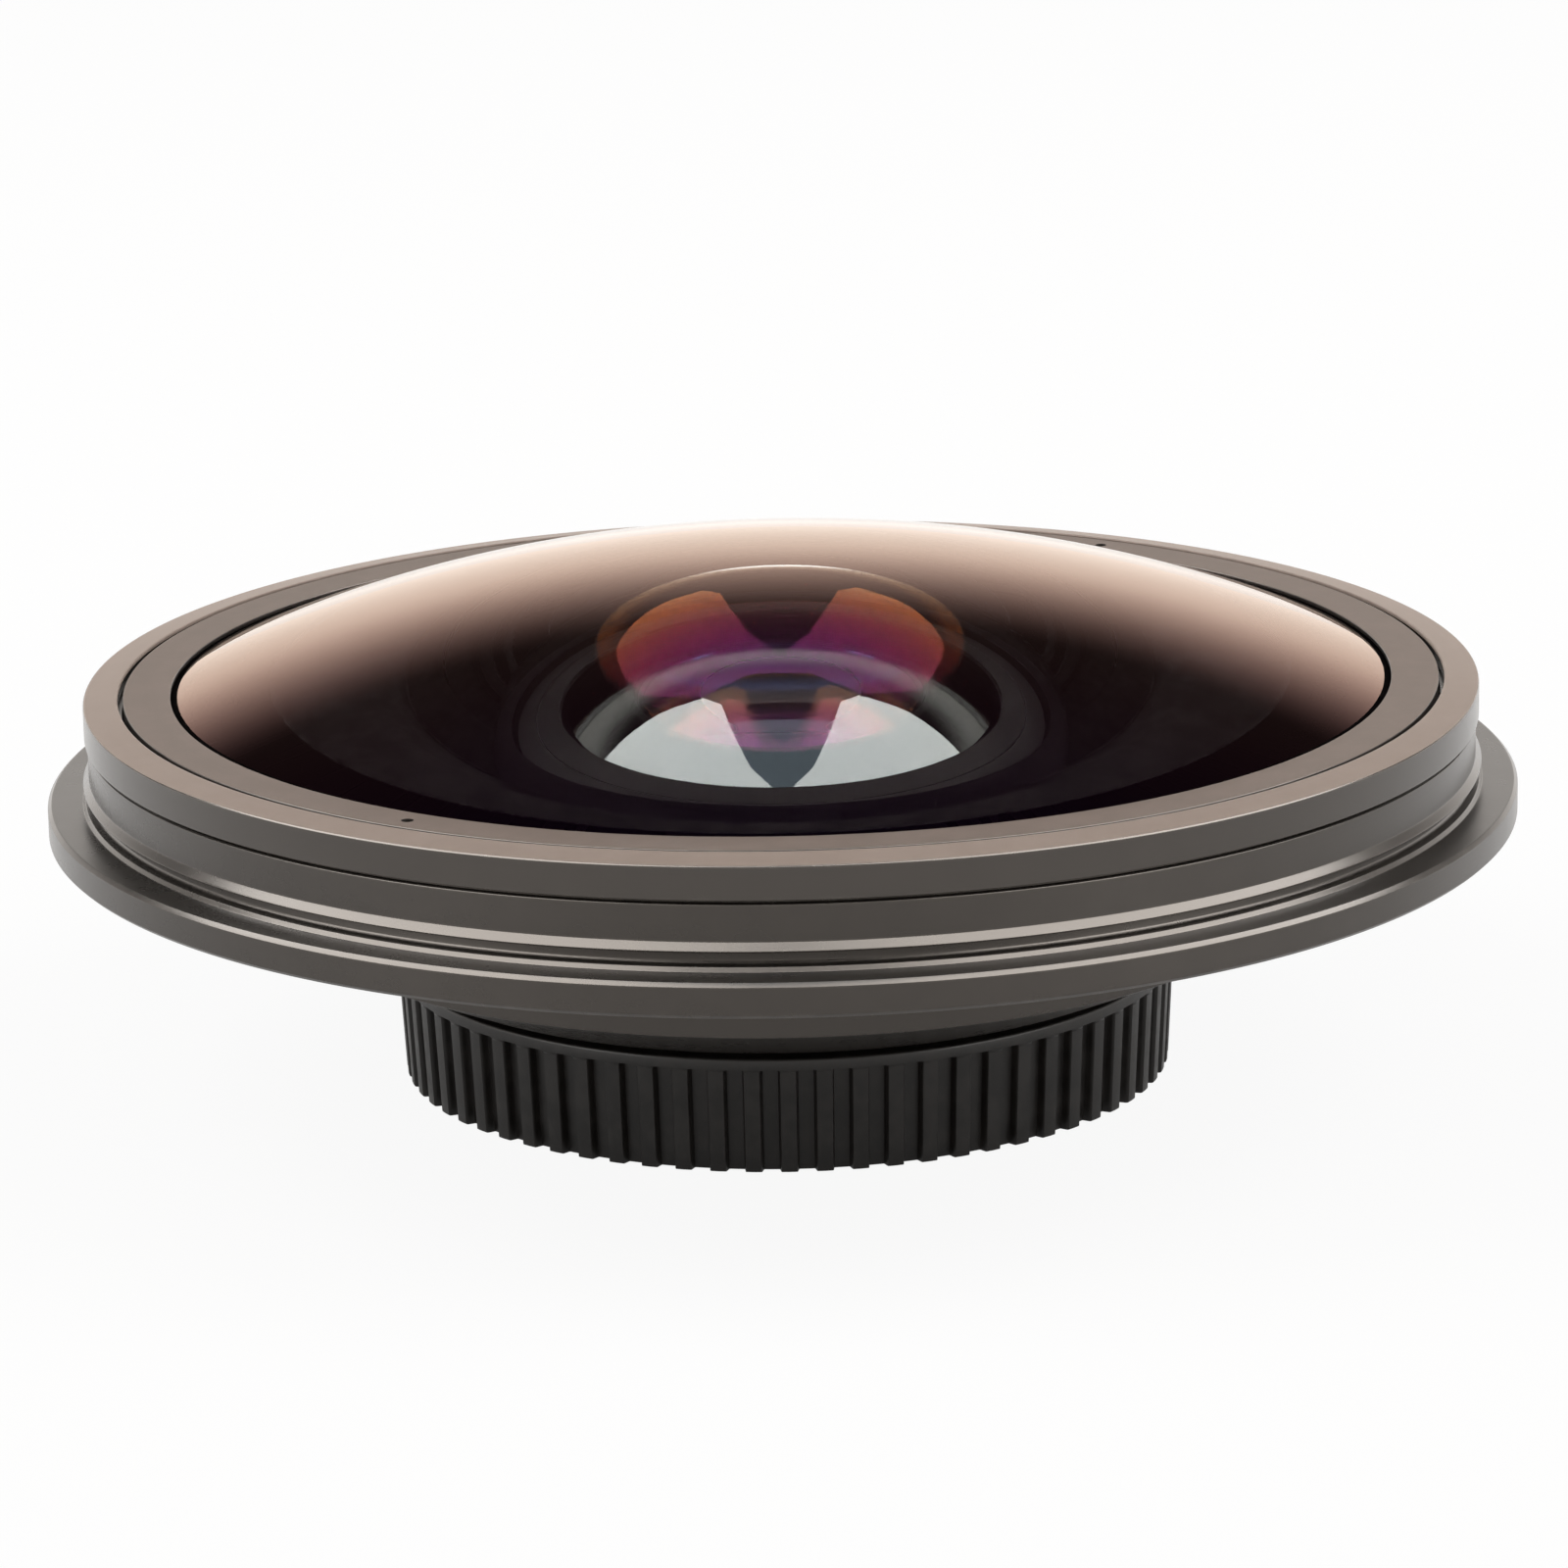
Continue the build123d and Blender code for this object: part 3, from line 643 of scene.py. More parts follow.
WARM = (1.0, 0.92, 0.85, 1)  # tint of what the anodised metal mirrors
WHITE = (1.0, 1.0, 1.0, 1)
MARK_DEPTH = 0.003
METAL_ROUGHNESS_SPREAD = 0.015
BLACK_ROUGHNESS_SPREAD = 0.05
BLACK_MOTTLE = 0.6  # of its colour, in the darkest spots
TURNED_ROUND = 0.25  # of a turn: highlights stretch across the turning marks
GLASS_IOR = 1.62
REAR_GLASS_IOR = 1.6
COATING_IOR = 1.38
GLASS_ROUGHNESS = 0.002


def anodised(name, dark, light, worn, rough, level=0.65, stretch=0.7, grain=0.002):
    """Black anodised metal: turned, blasted fine, with the dye thinner along its edges.

    level is how strongly it mirrors, stretch how far its highlights are drawn out, and grain the
    depth of its skin in millimetres."""
    material, shading, shader = new_material(name)
    turning = place_group(shading, MARKS, Rings_per_mm=5.0, Waviness=0.15)
    skin = place_group(shading, GRAIN, Grains_per_mm=8.0, Clumps_per_mm=0.4)
    edges = place_group(shading, EDGES, Amount=0.5, Breaks_per_mm=0.6)
    tone = shading.math("MULTIPLY", shading.math("ADD", turning["Tone"], skin["Mottle"]), 0.5)
    color = shading.mix(tone, dark, light)
    shading.join(shading.mix(edges["Mask"], color, worn), shader["Base Color"])
    smoothest = rough - METAL_ROUGHNESS_SPREAD
    roughest = rough + METAL_ROUGHNESS_SPREAD
    shading.join(shading.remap(tone, 0.0, 1.0, smoothest, roughest, smooth=False), shader["Roughness"])
    marks = shading.math("MULTIPLY", turning["Height"], MARK_DEPTH / grain)
    add_bump(shading, shader, shading.math("ADD", marks, skin["Height"]), grain)
    shader["Specular IOR Level"].default_value = level
    shader["Specular Tint"].default_value = WARM
    shader["Anisotropic"].default_value = stretch
    shader["Anisotropic Rotation"].default_value = TURNED_ROUND
    tangent = shading.add("ShaderNodeTangent", direction_type="RADIAL", axis="Z")
    shading.join(tangent.outputs[0], shader["Tangent"])
    return material


def plain_black(name, color, rough, level=0.3, grain=0.004):
    """Matt black paint, flocking, rubber or moulded plastic."""
    material, shading, shader = new_material(name)
    skin = place_group(shading, GRAIN, Grains_per_mm=7.0, Clumps_per_mm=0.7)
    darker = tuple(c * BLACK_MOTTLE for c in color[:3]) + (1.0,)
    shading.join(shading.mix(skin["Mottle"], darker, color), shader["Base Color"])
    smoothest = rough - BLACK_ROUGHNESS_SPREAD
    roughest = rough + BLACK_ROUGHNESS_SPREAD
    roughness = shading.remap(skin["Mottle"], 0.0, 1.0, smoothest, roughest, smooth=False)
    shading.join(roughness, shader["Roughness"])
    add_bump(shading, shader, skin["Height"], grain)
    shader["Specular IOR Level"].default_value = level
    return material


def coated_glass(name, film, reflection=WHITE, ior=GLASS_IOR):
    """Polished glass with a thin coating of film nanometres. reflection tints what it mirrors."""
    material, shading, shader = new_material(name)
    shader["Base Color"].default_value = WHITE
    shader["Transmission Weight"].default_value = 1.0
    shader["IOR"].default_value = ior
    shader["Specular Tint"].default_value = reflection
    shader["Thin Film Thickness"].default_value = film
    shader["Thin Film IOR"].default_value = COATING_IOR
    smears = place_group(shading, GRAIN, Grains_per_mm=3.0, Clumps_per_mm=0.08)
    roughness = shading.remap(smears["Mottle"], 0.0, 1.0, 0.0, GLASS_ROUGHNESS, smooth=False)
    shading.join(roughness, shader["Roughness"])
    return material


def lens_ink_and_shade():
    """Black ink on a ground glass edge. On the front dome it also covers a thin band inside the ring's
    lip, as painted shade.
    """
    material, shading, shader = new_material("lens_edge_ink_and_shade")
    skin = place_group(shading, GRAIN, Grains_per_mm=6.0, Clumps_per_mm=0.5)
    ink = shading.mix(skin["Mottle"], (0.003, 0.0025, 0.0025, 1), (0.006, 0.005, 0.005, 1))
    shading.join(ink, shader["Base Color"])
    shader["Roughness"].default_value = 0.8
    shader["Specular IOR Level"].default_value = 0.0
    add_bump(shading, shader, skin["Height"], 0.003)
    return material


HOUSING_METAL = anodised(
    "housing_anodised",
    dark=(0.009, 0.0075, 0.0065, 1),
    light=(0.013, 0.011, 0.0095, 1),
    worn=(0.04, 0.035, 0.031, 1),
    rough=0.28,
    stretch=0.5,
)
FRONT_METAL = anodised(
    "front_ring_anodised",
    dark=(0.01, 0.0085, 0.0075, 1),
    light=(0.015, 0.0125, 0.011, 1),
    worn=(0.045, 0.04, 0.035, 1),
    rough=0.21,
    level=0.8,
    stretch=0.2,
)
RING_METAL = anodised(
    "retaining_ring_anodised",
    dark=(0.012, 0.0095, 0.0085, 1),
    light=(0.017, 0.014, 0.0125, 1),
    worn=(0.04, 0.035, 0.031, 1),
    rough=0.34,
    stretch=0.2,
)
# The front ring's top is the same black anodised metal as its sides. It is drawn in a light colour
# that stands in for the light it catches: painted light.
FRONT_TOP_PAINTED_LIGHT = anodised(
    "front_ring_top_painted_light",
    dark=(0.26, 0.206, 0.175, 1),
    light=(0.285, 0.228, 0.196, 1),
    worn=(0.33, 0.27, 0.235, 1),
    rough=0.45,
    level=0.12,
    stretch=0.0,
)
# The glass retaining ring's top is likewise the ring's own anodised metal, drawn in a light colour
# that stands in for the light it catches: painted light.
RING_TOP_PAINTED_LIGHT = anodised(
    "retaining_ring_top_painted_light",
    dark=(0.145, 0.114, 0.096, 1),
    light=(0.175, 0.138, 0.118, 1),
    worn=(0.2, 0.162, 0.14, 1),
    rough=0.45,
    level=0.08,
    stretch=0.0,
    grain=0.006,
)
COLLAR_METAL = anodised(
    "collar_anodised",
    dark=(0.01, 0.009, 0.0085, 1),
    light=(0.014, 0.0125, 0.012, 1),
    worn=(0.04, 0.036, 0.033, 1),
    rough=0.32,
)
BARREL_METAL = anodised(
    "barrel_black",
    dark=(0.003, 0.0025, 0.0025, 1),
    light=(0.005, 0.004, 0.004, 1),
    worn=(0.01, 0.009, 0.009, 1),
    rough=0.6,
    level=0.1,
)
SCREW_STEEL = anodised(
    "screw_steel",
    dark=(0.05, 0.05, 0.05, 1),
    light=(0.07, 0.07, 0.07, 1),
    worn=(0.2, 0.2, 0.2, 1),
    rough=0.35,
)

BAFFLE_BLACK = plain_black("baffle_black", (0.002, 0.0013, 0.0015, 1), 0.85, level=0.02)
GRIP_PLASTIC = plain_black("grip_moulded", (0.011, 0.0093, 0.0082, 1), 0.4, level=0.35)
WASHER_PLASTIC = plain_black("washer_plastic", (0.02, 0.019, 0.018, 1), 0.5)
SEAL_RUBBER = plain_black("seal_rubber", (0.01, 0.01, 0.01, 1), 0.7)

FRONT_GLASS = coated_glass("front_glass_coated", film=360.0, reflection=(1.0, 0.925, 0.89, 1))
BOWL_GLASS = coated_glass("front_glass_bowl", film=489.0, reflection=(0.36, 0.2, 0.19, 1))
INNER_GLASS = coated_glass("inner_glass_plain", film=0.0)
INNER_BACK_GLASS = coated_glass("inner_glass_coated", film=440.0, reflection=(0.14, 0.12, 0.3, 1))
THIRD_GLASS = coated_glass("third_glass_coated", film=290.0, reflection=(0.35, 0.25, 0.45, 1))
REAR_GLASS = coated_glass("rear_glass_coated", film=120.0, ior=REAR_GLASS_IOR)
LENS_INK_AND_SHADE = lens_ink_and_shade()


# Pieces of the lens body


def make_housing():
    """The shell: brim, step and cove, flared wall, bell, cone and neck."""
    cove_end_z = BRIM_TOP_Z + 2 * STEP_HEIGHT
    cove = []
    for k in range(COVE_STEPS + 1):
        angle = pi / 2 * k / COVE_STEPS
        r = COVE_R + STEP_HEIGHT - STEP_HEIGHT * sin(angle)
        cove.append((r, cove_end_z - STEP_HEIGHT * cos(angle)))
    pocket_r = FRONT_RIM_R + GLASS_PLAY
    pocket_top_z = GLASS_RING_Z - GLASS_THREAD_RUNOUT
    groove_bottom_z = GLASS_SEAT_Z - SEAL_GROOVE_DEPTH
    outline = [
        (NECK_BORE_R, HOUSING_END_Z),
        (NECK_THREAD_R, HOUSING_END_Z),
        (NECK_THREAD_R, NECK_SHOULDER_Z),
        (NECK_R, NECK_SHOULDER_Z),
        (NECK_R, BELL_BOTTOM_Z),
        (CONE_END_R, BELL_BOTTOM_Z),
        (BELL_R, CONE_TOP_Z),
        (BELL_R, BRIM_BOTTOM_Z),
        (BRIM_R - BRIM_CHAMFER, BRIM_BOTTOM_Z),
        (BRIM_R, BRIM_BOTTOM_Z + BRIM_CHAMFER),
        (BRIM_R, BRIM_TOP_Z - BRIM_CHAMFER),
        (BRIM_R - BRIM_CHAMFER, BRIM_TOP_Z),
        (STEP_R, BRIM_TOP_Z),
        (STEP_R - STEP_HEIGHT / 2, BRIM_TOP_Z + STEP_HEIGHT),
        *cove,
        (COVE_R, WALL_BOTTOM_Z - FLARE_LIP),
        (FLARE_R - FLARE_LIP, WALL_BOTTOM_Z),
        (FLARE_R, WALL_BOTTOM_Z + FLARE_LIP),
        (WAIST_R, WALL_BOTTOM_Z + WALL_CHAMFER + FLARE_LIP),
        (WAIST_R, FRONT_SEAT_Z),
        (SPIGOT_R, FRONT_SEAT_Z),
        (SPIGOT_R, SPIGOT_TOP_Z),
        (GLASS_THREAD_R, SPIGOT_TOP_Z),
        (GLASS_THREAD_R, pocket_top_z),
        (pocket_r, pocket_top_z),
        (pocket_r, GLASS_SEAT_Z),
        (SEAL_GROOVE_R + SEAL_GROOVE_HALF, GLASS_SEAT_Z),
        (SEAL_GROOVE_R + SEAL_GROOVE_HALF, groove_bottom_z),
        (SEAL_GROOVE_R - SEAL_GROOVE_HALF, groove_bottom_z),
        (SEAL_GROOVE_R - SEAL_GROOVE_HALF, GLASS_SEAT_Z),
        (BELL_BORE_R, GLASS_SEAT_Z),
        (BELL_BORE_R, HOUSING_FLOOR_Z),
        (CUP_WELL_R, HOUSING_FLOOR_Z),
        (CUP_WELL_R, CUP_WELL_Z),
        (NECK_BORE_R, CUP_WELL_Z),
    ]
    return turned("main_housing", eased(outline), "housing_metal", [HOUSING_METAL])


def make_front_ring():
    """The trim ring over the housing's spigot, with a groove under it and its top painted lighter for
    the light it catches.
    """
    groove_r = WALL_R - FRONT_GROOVE_DEPTH
    lip_z = FRONT_LIP_TOP_Z - FRONT_LIP_HEIGHT
    outline = [
        (FRONT_RING_BORE_R, FRONT_SEAT_Z),
        (groove_r, FRONT_SEAT_Z),
        (groove_r, FRONT_GROOVE_TOP_Z),
        (WALL_R, FRONT_GROOVE_TOP_Z),
        (WALL_R, FRONT_RING_TOP_Z - FRONT_TOP_BEVEL),
        (WALL_R - FRONT_TOP_BEVEL, FRONT_RING_TOP_Z),
        (FRONT_LIP_R, FRONT_LIP_TOP_Z),
        (FRONT_LIP_R, lip_z),
        (FRONT_RING_BORE_R, lip_z),
    ]
    section = eased(outline, FRONT_RING_EASE)
    # The top faces take the colour painted lighter for the light on them.
    tops = top_faces(section, FRONT_RING_TOP_Z)
    finishes = [FRONT_METAL, FRONT_TOP_PAINTED_LIGHT]
    return turned("front_ring", section, "front_ring_metal", finishes, slot_of=tops)


def make_glass_ring():
    """The ring that holds the front glass, with two spanner holes."""
    lip_root_z = GLASS_RING_TOP_Z - GLASS_RING_LIP
    lip_edge_z = dome_height(DOME_Z, FRONT_EDGE_Z, FRONT_RIM_R, GLASS_RING_BORE_R) + LIP_CLEARANCE
    outline = [
        (GLASS_RING_SKIRT_R, GLASS_RING_Z),
        (GLASS_RING_R, GLASS_RING_Z),
        (GLASS_RING_R, GLASS_RING_TOP_Z),
        (GLASS_RING_BORE_R, GLASS_RING_TOP_Z),
        (GLASS_RING_BORE_R, lip_edge_z),
        (FRONT_RIM_R, lip_root_z),
        (GLASS_RING_SKIRT_R, lip_root_z),
    ]
    section = eased(outline, GLASS_RING_EASE)
    # Its top faces take the colour painted lighter for the light on them.
    tops = top_faces(section, GLASS_RING_TOP_Z)
    finishes = [RING_METAL, RING_TOP_PAINTED_LIGHT]
    ring = turned("glass_retaining_ring", section, "retaining_ring_metal", finishes, slot_of=tops)
    hole_z = GLASS_RING_TOP_Z - SPANNER_HOLE_DEPTH
    above_z = GLASS_RING_TOP_Z + CUTTER_OVERRUN
    holes = []
    for turn in (0, 180):
        angle = SPANNER_HOLE_ANGLE + turn
        holes.append(drill(SPANNER_HOLE_R, hole_z, above_z, SPANNER_HOLE_PLACE_R, angle))
    cut(ring, holes)


def make_front_element():
    """The domed front glass: stepped below its seat, with a deep bowl behind."""
    # From FRONT_CLEAR_R out, the dome takes the black ink. The strip that shows inside the ring's lip
    # is painted shade of the gap.
    clear_z = dome_height(DOME_Z, FRONT_EDGE_Z, FRONT_RIM_R, FRONT_CLEAR_R)
    rim = [
        (FRONT_RIM_R - FRONT_RIM_CHAMFER, FRONT_EDGE_Z + FRONT_RIM_LAND),
        (FRONT_RIM_R, FRONT_EDGE_Z - FRONT_RIM_CHAMFER),
        (FRONT_RIM_R, GLASS_SEAT_Z + FRONT_RIM_CHAMFER),
        (FRONT_RIM_R - FRONT_RIM_CHAMFER, GLASS_SEAT_Z),
        (FRONT_SKIRT_R, GLASS_SEAT_Z),
        (FRONT_SKIRT_R, FRONT_SKIRT_Z + FRONT_RIM_CHAMFER),
        (FRONT_SKIRT_R - FRONT_RIM_CHAMFER, FRONT_SKIRT_Z),
    ]
    return make_lens(
        "front_element",
        "front_glass",
        face_arc(DOME_Z, clear_z, FRONT_CLEAR_R),
        rim,
        face_arc(FRONT_BOWL_Z, FRONT_SKIRT_Z, FRONT_BOWL_R),
        FRONT_GLASS,
        BOWL_GLASS,
    )


def make_second_element():
    """The shallow meniscus low in the barrel's cup."""
    return make_lens(
        "second_element",
        "inner_glass",
        face_arc(SECOND_DOME_Z, SECOND_EDGE_Z, SECOND_RIM_R),
        [(SECOND_RIM_R, CUP_SEAT_Z)],
        face_arc(SECOND_BOWL_Z, CUP_SEAT_Z, SECOND_BOWL_R),
        INNER_GLASS,
        INNER_BACK_GLASS,
    )


def make_third_element():
    """The biconvex glass in front of the stop."""
    return make_lens(
        "third_element",
        "inner_glass",
        face_arc(THIRD_DOME_Z, BARREL_SHOULDER_Z, REAR_OPTIC_R, REAR_FACE_STEPS),
        [(REAR_RIM_R, BARREL_SHOULDER_Z), (REAR_RIM_R, THIRD_EDGE_Z)],
        face_arc(THIRD_BACK_Z, THIRD_EDGE_Z, REAR_OPTIC_R, REAR_FACE_STEPS),
        THIRD_GLASS,
    )


def make_doublet():
    """The two cemented glasses behind the stop."""
    make_lens(
        "doublet_front",
        "rear_glass",
        face_arc(CROWN_DOME_Z, STOP_Z, REAR_OPTIC_R, REAR_FACE_STEPS),
        [(REAR_RIM_R, STOP_Z)],
        face_arc(CEMENT_Z, CROWN_EDGE_Z, REAR_RIM_R, REAR_FACE_STEPS),
        REAR_GLASS,
    )
    make_lens(
        "doublet_rear",
        "rear_glass",
        face_arc(CEMENT_Z - CEMENT, CROWN_EDGE_Z - CEMENT, REAR_RIM_R, REAR_FACE_STEPS),
        [(REAR_RIM_R, FLINT_EDGE_Z)],
        face_arc(FLINT_BACK_Z, FLINT_EDGE_Z, REAR_OPTIC_R, REAR_FACE_STEPS),
        REAR_GLASS,
    )


def make_rear_spacer():
    """The spacer between the third element and the stop."""
    section = ring_section(REAR_RING_BORE_R, REAR_RIM_R, SPACER_Z, SPACER_TOP_Z)
    return turned("rear_spacer", section, "baffle_black", [BAFFLE_BLACK])


def make_aperture_stop():
    """The thin stop plate on its own short rim."""
    plate_z = STOP_TOP_Z - STOP_PLATE_HEIGHT
    outline = [
        (REAR_RING_BORE_R, STOP_Z),
        (REAR_RIM_R, STOP_Z),
        (REAR_RIM_R, STOP_TOP_Z),
        (STOP_R, STOP_TOP_Z),
        (STOP_R, plate_z),
        (REAR_RING_BORE_R, plate_z),
    ]
    return turned("aperture_stop", eased(outline, STOP_EASE), "baffle_black", [BAFFLE_BLACK])


def make_rear_ring():
    """The ring that holds the doublet in the tube, with a spanner slot."""
    outline = ring_section(REAR_RING_BORE_R, REAR_RIM_R, REAR_RING_Z, REAR_RING_TOP_Z)
    ring = turned("rear_retaining_ring", eased(outline), "barrel_metal", [BARREL_METAL])
    cut(ring, [spanner_slot(REAR_RIM_R, REAR_RING_Z)])


def make_barrel():
    """The flanged cup and tube that carries the inner glasses, with its screw holes."""
    thread_z = FLANGE_TOP_Z - CUP_THREAD_DEPTH
    outline = [
        (BARREL_BORE_R, TUBE_END_Z),
        (BARREL_TUBE_R, TUBE_END_Z),
        (BARREL_TUBE_R, CUP_WELL_Z),
        (CUP_R, CUP_WELL_Z),
        (CUP_R, HOUSING_FLOOR_Z),
        (FLANGE_R, HOUSING_FLOOR_Z),
        (FLANGE_R, FLANGE_TOP_Z),
        (CUP_THREAD_R, FLANGE_TOP_Z),
        (CUP_THREAD_R, thread_z),
        (CUP_BORE_R, thread_z),
        (CUP_BORE_R, CUP_SEAT_Z),
        (BARREL_APERTURE_R, CUP_SEAT_Z),
        (BARREL_APERTURE_R, BARREL_SHOULDER_Z),
        (BARREL_BORE_R, BARREL_SHOULDER_Z),
    ]
    barrel = turned("optical_barrel", eased(outline), "barrel_metal", [BARREL_METAL])
    below_z = HOUSING_FLOOR_Z - CUTTER_OVERRUN
    above_z = FLANGE_TOP_Z + CUTTER_OVERRUN
    holes = []
    for k in range(SCREW_COUNT):
        angle = SCREW_FIRST_ANGLE + 360 / SCREW_COUNT * k
        holes.append(drill(FLANGE_HOLE_R, below_z, above_z, SCREW_PLACE_R, angle))
    cut(barrel, holes)


def make_second_ring():
    """The ring that holds the second element in the cup."""
    lip_root_z = SECOND_EDGE_Z + LIP_CLEARANCE
    dome = (SECOND_DOME_Z, SECOND_EDGE_Z, SECOND_RIM_R)
    lip_edge_z = dome_height(*dome, SECOND_RING_BORE_R) + LIP_CLEARANCE
    outline = [
        (SECOND_RING_SKIRT_R, SECOND_RING_Z),
        (SECOND_RING_R, SECOND_RING_Z),
        (SECOND_RING_R, SECOND_RING_TOP_Z),
        (SECOND_RING_BORE_R, SECOND_RING_TOP_Z),
        (SECOND_RING_BORE_R, lip_edge_z),
        (SECOND_RIM_R, lip_root_z),
        (SECOND_RING_SKIRT_R, lip_root_z),
    ]
    section = eased(outline, THIN_RING_EASE)
    return turned("second_retaining_ring", section, "barrel_metal", [BARREL_METAL])


def make_baffle():
    """The black plate on a foot that closes the space round the cup."""
    plate_z = BAFFLE_TOP_Z - BAFFLE_PLATE_HEIGHT
    outline = [
        (CUP_R, BAFFLE_FOOT_Z),
        (BAFFLE_FOOT_R, BAFFLE_FOOT_Z),
        (BAFFLE_FOOT_R, plate_z),
        (BAFFLE_R, plate_z),
        (BAFFLE_R, BAFFLE_TOP_Z),
        (CUP_R, BAFFLE_TOP_Z),
    ]
    return turned("baffle_ring", eased(outline, THIN_RING_EASE), "baffle_black", [BAFFLE_BLACK])


def make_holding_ring():
    """The ring on the neck that holds the collar up, with a spanner slot."""
    outline = ring_section(HOLDING_RING_BORE_R, HOLDING_RING_R, HOLDING_RING_Z, HOLDING_RING_TOP_Z)
    section = eased(outline, HOLDING_RING_EASE)
    ring = turned("collar_holding_ring", section, "barrel_metal", [BARREL_METAL])
    cut(ring, [spanner_slot(HOLDING_RING_R, HOLDING_RING_Z)])


# Pieces of the collar


def make_mount_collar():
    """The collar's web and skirt round the mount's spigot, with the screw thread on it."""
    low_z = MOUNT_SPIGOT_Z + MOUNT_THREAD_CHAMFER
    high_z = COLLAR_WEB_Z - MOUNT_THREAD_RUNOUT
    steps = round((high_z - low_z) / MOUNT_THREAD_PITCH * THREAD_STEPS)
    flank = [(MOUNT_THREAD_R, low_z + (high_z - low_z) * k / steps) for k in range(steps + 1)]
    root = (MOUNT_THREAD_R, COLLAR_WEB_Z)
    outline = [
        (COLLAR_BORE_R, COLLAR_WEB_Z),
        (MOUNT_SPIGOT_BORE_R, COLLAR_WEB_Z),
        (MOUNT_SPIGOT_BORE_R, MOUNT_SPIGOT_Z),
        (MOUNT_THREAD_R - MOUNT_THREAD_CHAMFER, MOUNT_SPIGOT_Z),
        *flank,
        root,
        (SKIRT_BORE_R, COLLAR_WEB_Z),
        (SKIRT_BORE_R, COLLAR_Z),
        (COLLAR_R, COLLAR_Z),
        (COLLAR_R, COLLAR_TOP_Z),
        (COLLAR_BORE_R, COLLAR_TOP_Z),
    ]

    def thread(angle, r, z):
        """The thread's ridge climbs one pitch a turn and fades out at both ends."""
        if abs(r - MOUNT_THREAD_R) > SAME_R or not low_z <= z <= high_z:
            return r
        phase = (z / MOUNT_THREAD_PITCH - angle / (2 * pi)) % 1.0
        groove = min(1.0, (1 - abs(2 * phase - 1)) * MOUNT_THREAD_FLANK)
        fade = min(1.0, (z - low_z) / MOUNT_THREAD_FADE, (high_z - z) / MOUNT_THREAD_FADE)
        return r - MOUNT_THREAD_DEPTH * groove * fade

    return turned(
        "mount_collar",
        eased(outline, kept=(flank[0], root)),
        "collar_metal",
        [COLLAR_METAL],
        body="collar",
        sharp=THREAD_SHARP,
        relief=thread,
    )


def make_grip_ring():
    """The ribbed ring. Its angles follow the ribs, so that every rib has the same crisp sides."""
    half_groove = (1 - RIB_SHARE) / 2
    # From a groove's middle to a rib's, as shares of the pitch and of the depth.
    profile = [
        (0.0, 1.0),
        (half_groove / 2, 1.0),
        (half_groove - RIB_SIDE, 1.0),
        (half_groove - RIB_SIDE / 2, 0.86),
        (half_groove, 0.5),
        (half_groove + RIB_SIDE / 2, 0.14),
        (half_groove + RIB_SIDE, 0.03),
        (0.5, 0.0),
    ]
    mirrored = [(1 - share, depth) for share, depth in profile[-2:0:-1]]
    angles = []
    depth_at = {}
    for rib in range(RIB_COUNT):
        for share, depth in profile + mirrored:
            angle = 2 * pi * (rib + share) / RIB_COUNT
            angles.append(angle)
            depth_at[angle] = depth * RIB_DEPTH

    draft = (GRIP_TOP_R - GRIP_BOTTOM_R) / (GRIP_TOP_Z - GRIP_Z)
    band_z = GRIP_TOP_Z - GRIP_BAND_HEIGHT

    def outer(z):
        return GRIP_BOTTOM_R + draft * (z - GRIP_Z)

    def ribs(angle, r, z):
        """The grooves run out under the smooth band."""
        if r < GRIP_BORE_R + GRIP_WALL:
            return r
        return r - depth_at[angle] * min(1.0, max(0.0, (band_z - z) / RIB_RUN_OUT))

    section = [(GRIP_BORE_R, GRIP_Z)]
    for inward, up in GRIP_FOOT_EDGE:
        section.append((outer(GRIP_Z) - inward, GRIP_Z + up))
    low_z = section[-1][1]
    high_z = band_z - GRIP_WALL_END
    heights = [low_z + (high_z - low_z) * k / GRIP_WALL_STEPS for k in range(1, GRIP_WALL_STEPS + 1)]
    heights += [band_z - RIB_RUN_OUT, band_z - RIB_RUN_OUT / 2, band_z, band_z + GRIP_BAND_EDGE]
    for z in heights:
        section.append((outer(z), z))
    shoulder_r = outer(GRIP_TOP_Z - GRIP_TOP_EDGE[0][1])
    for inward, down in GRIP_TOP_EDGE:
        section.append((shoulder_r - inward, GRIP_TOP_Z - down))
    section.append((GRIP_BORE_R, GRIP_TOP_Z))
    return turned(
        "grip_ring",
        section,
        "grip_plastic",
        [GRIP_PLASTIC],
        body="collar",
        sharp=RIB_SHARP,
        angles=angles,
        relief=ribs,
    )


def dress_kept_nodes():
    """The plain hidden rings and the screws keep their CAD shape and get their finish."""
    kept = {
        "front_seal": SEAL_RUBBER,
        "upper_slip_washer": WASHER_PLASTIC,
        "lower_slip_washer": WASHER_PLASTIC,
        "barrel_screws": SCREW_STEEL,
    }
    for name, material in kept.items():
        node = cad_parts[name]
        node.data.materials.clear()
        node.data.materials.append(material)
        node.data.set_sharp_from_angle(angle=radians(METAL_SHARP))


make_housing()
make_front_ring()
make_glass_ring()
make_front_element()
make_second_element()
make_third_element()
make_doublet()
make_rear_spacer()
make_aperture_stop()
make_rear_ring()
make_barrel()
make_second_ring()
make_baffle()
make_holding_ring()
make_mount_collar()
make_grip_ring()
dress_kept_nodes()


# Stage, in metres

FLOOR_SIZE = 3.0
FLOOR_COLOR = (0.9, 0.9, 0.9, 1)
FLOOR_SHOWN = 0.92  # how white the camera sees it, whatever the light. The rest takes the shadow.
FLOOR_NEAR = 0.12  # from the axis, where the object still shades the floor
FLOOR_FAR = 0.5
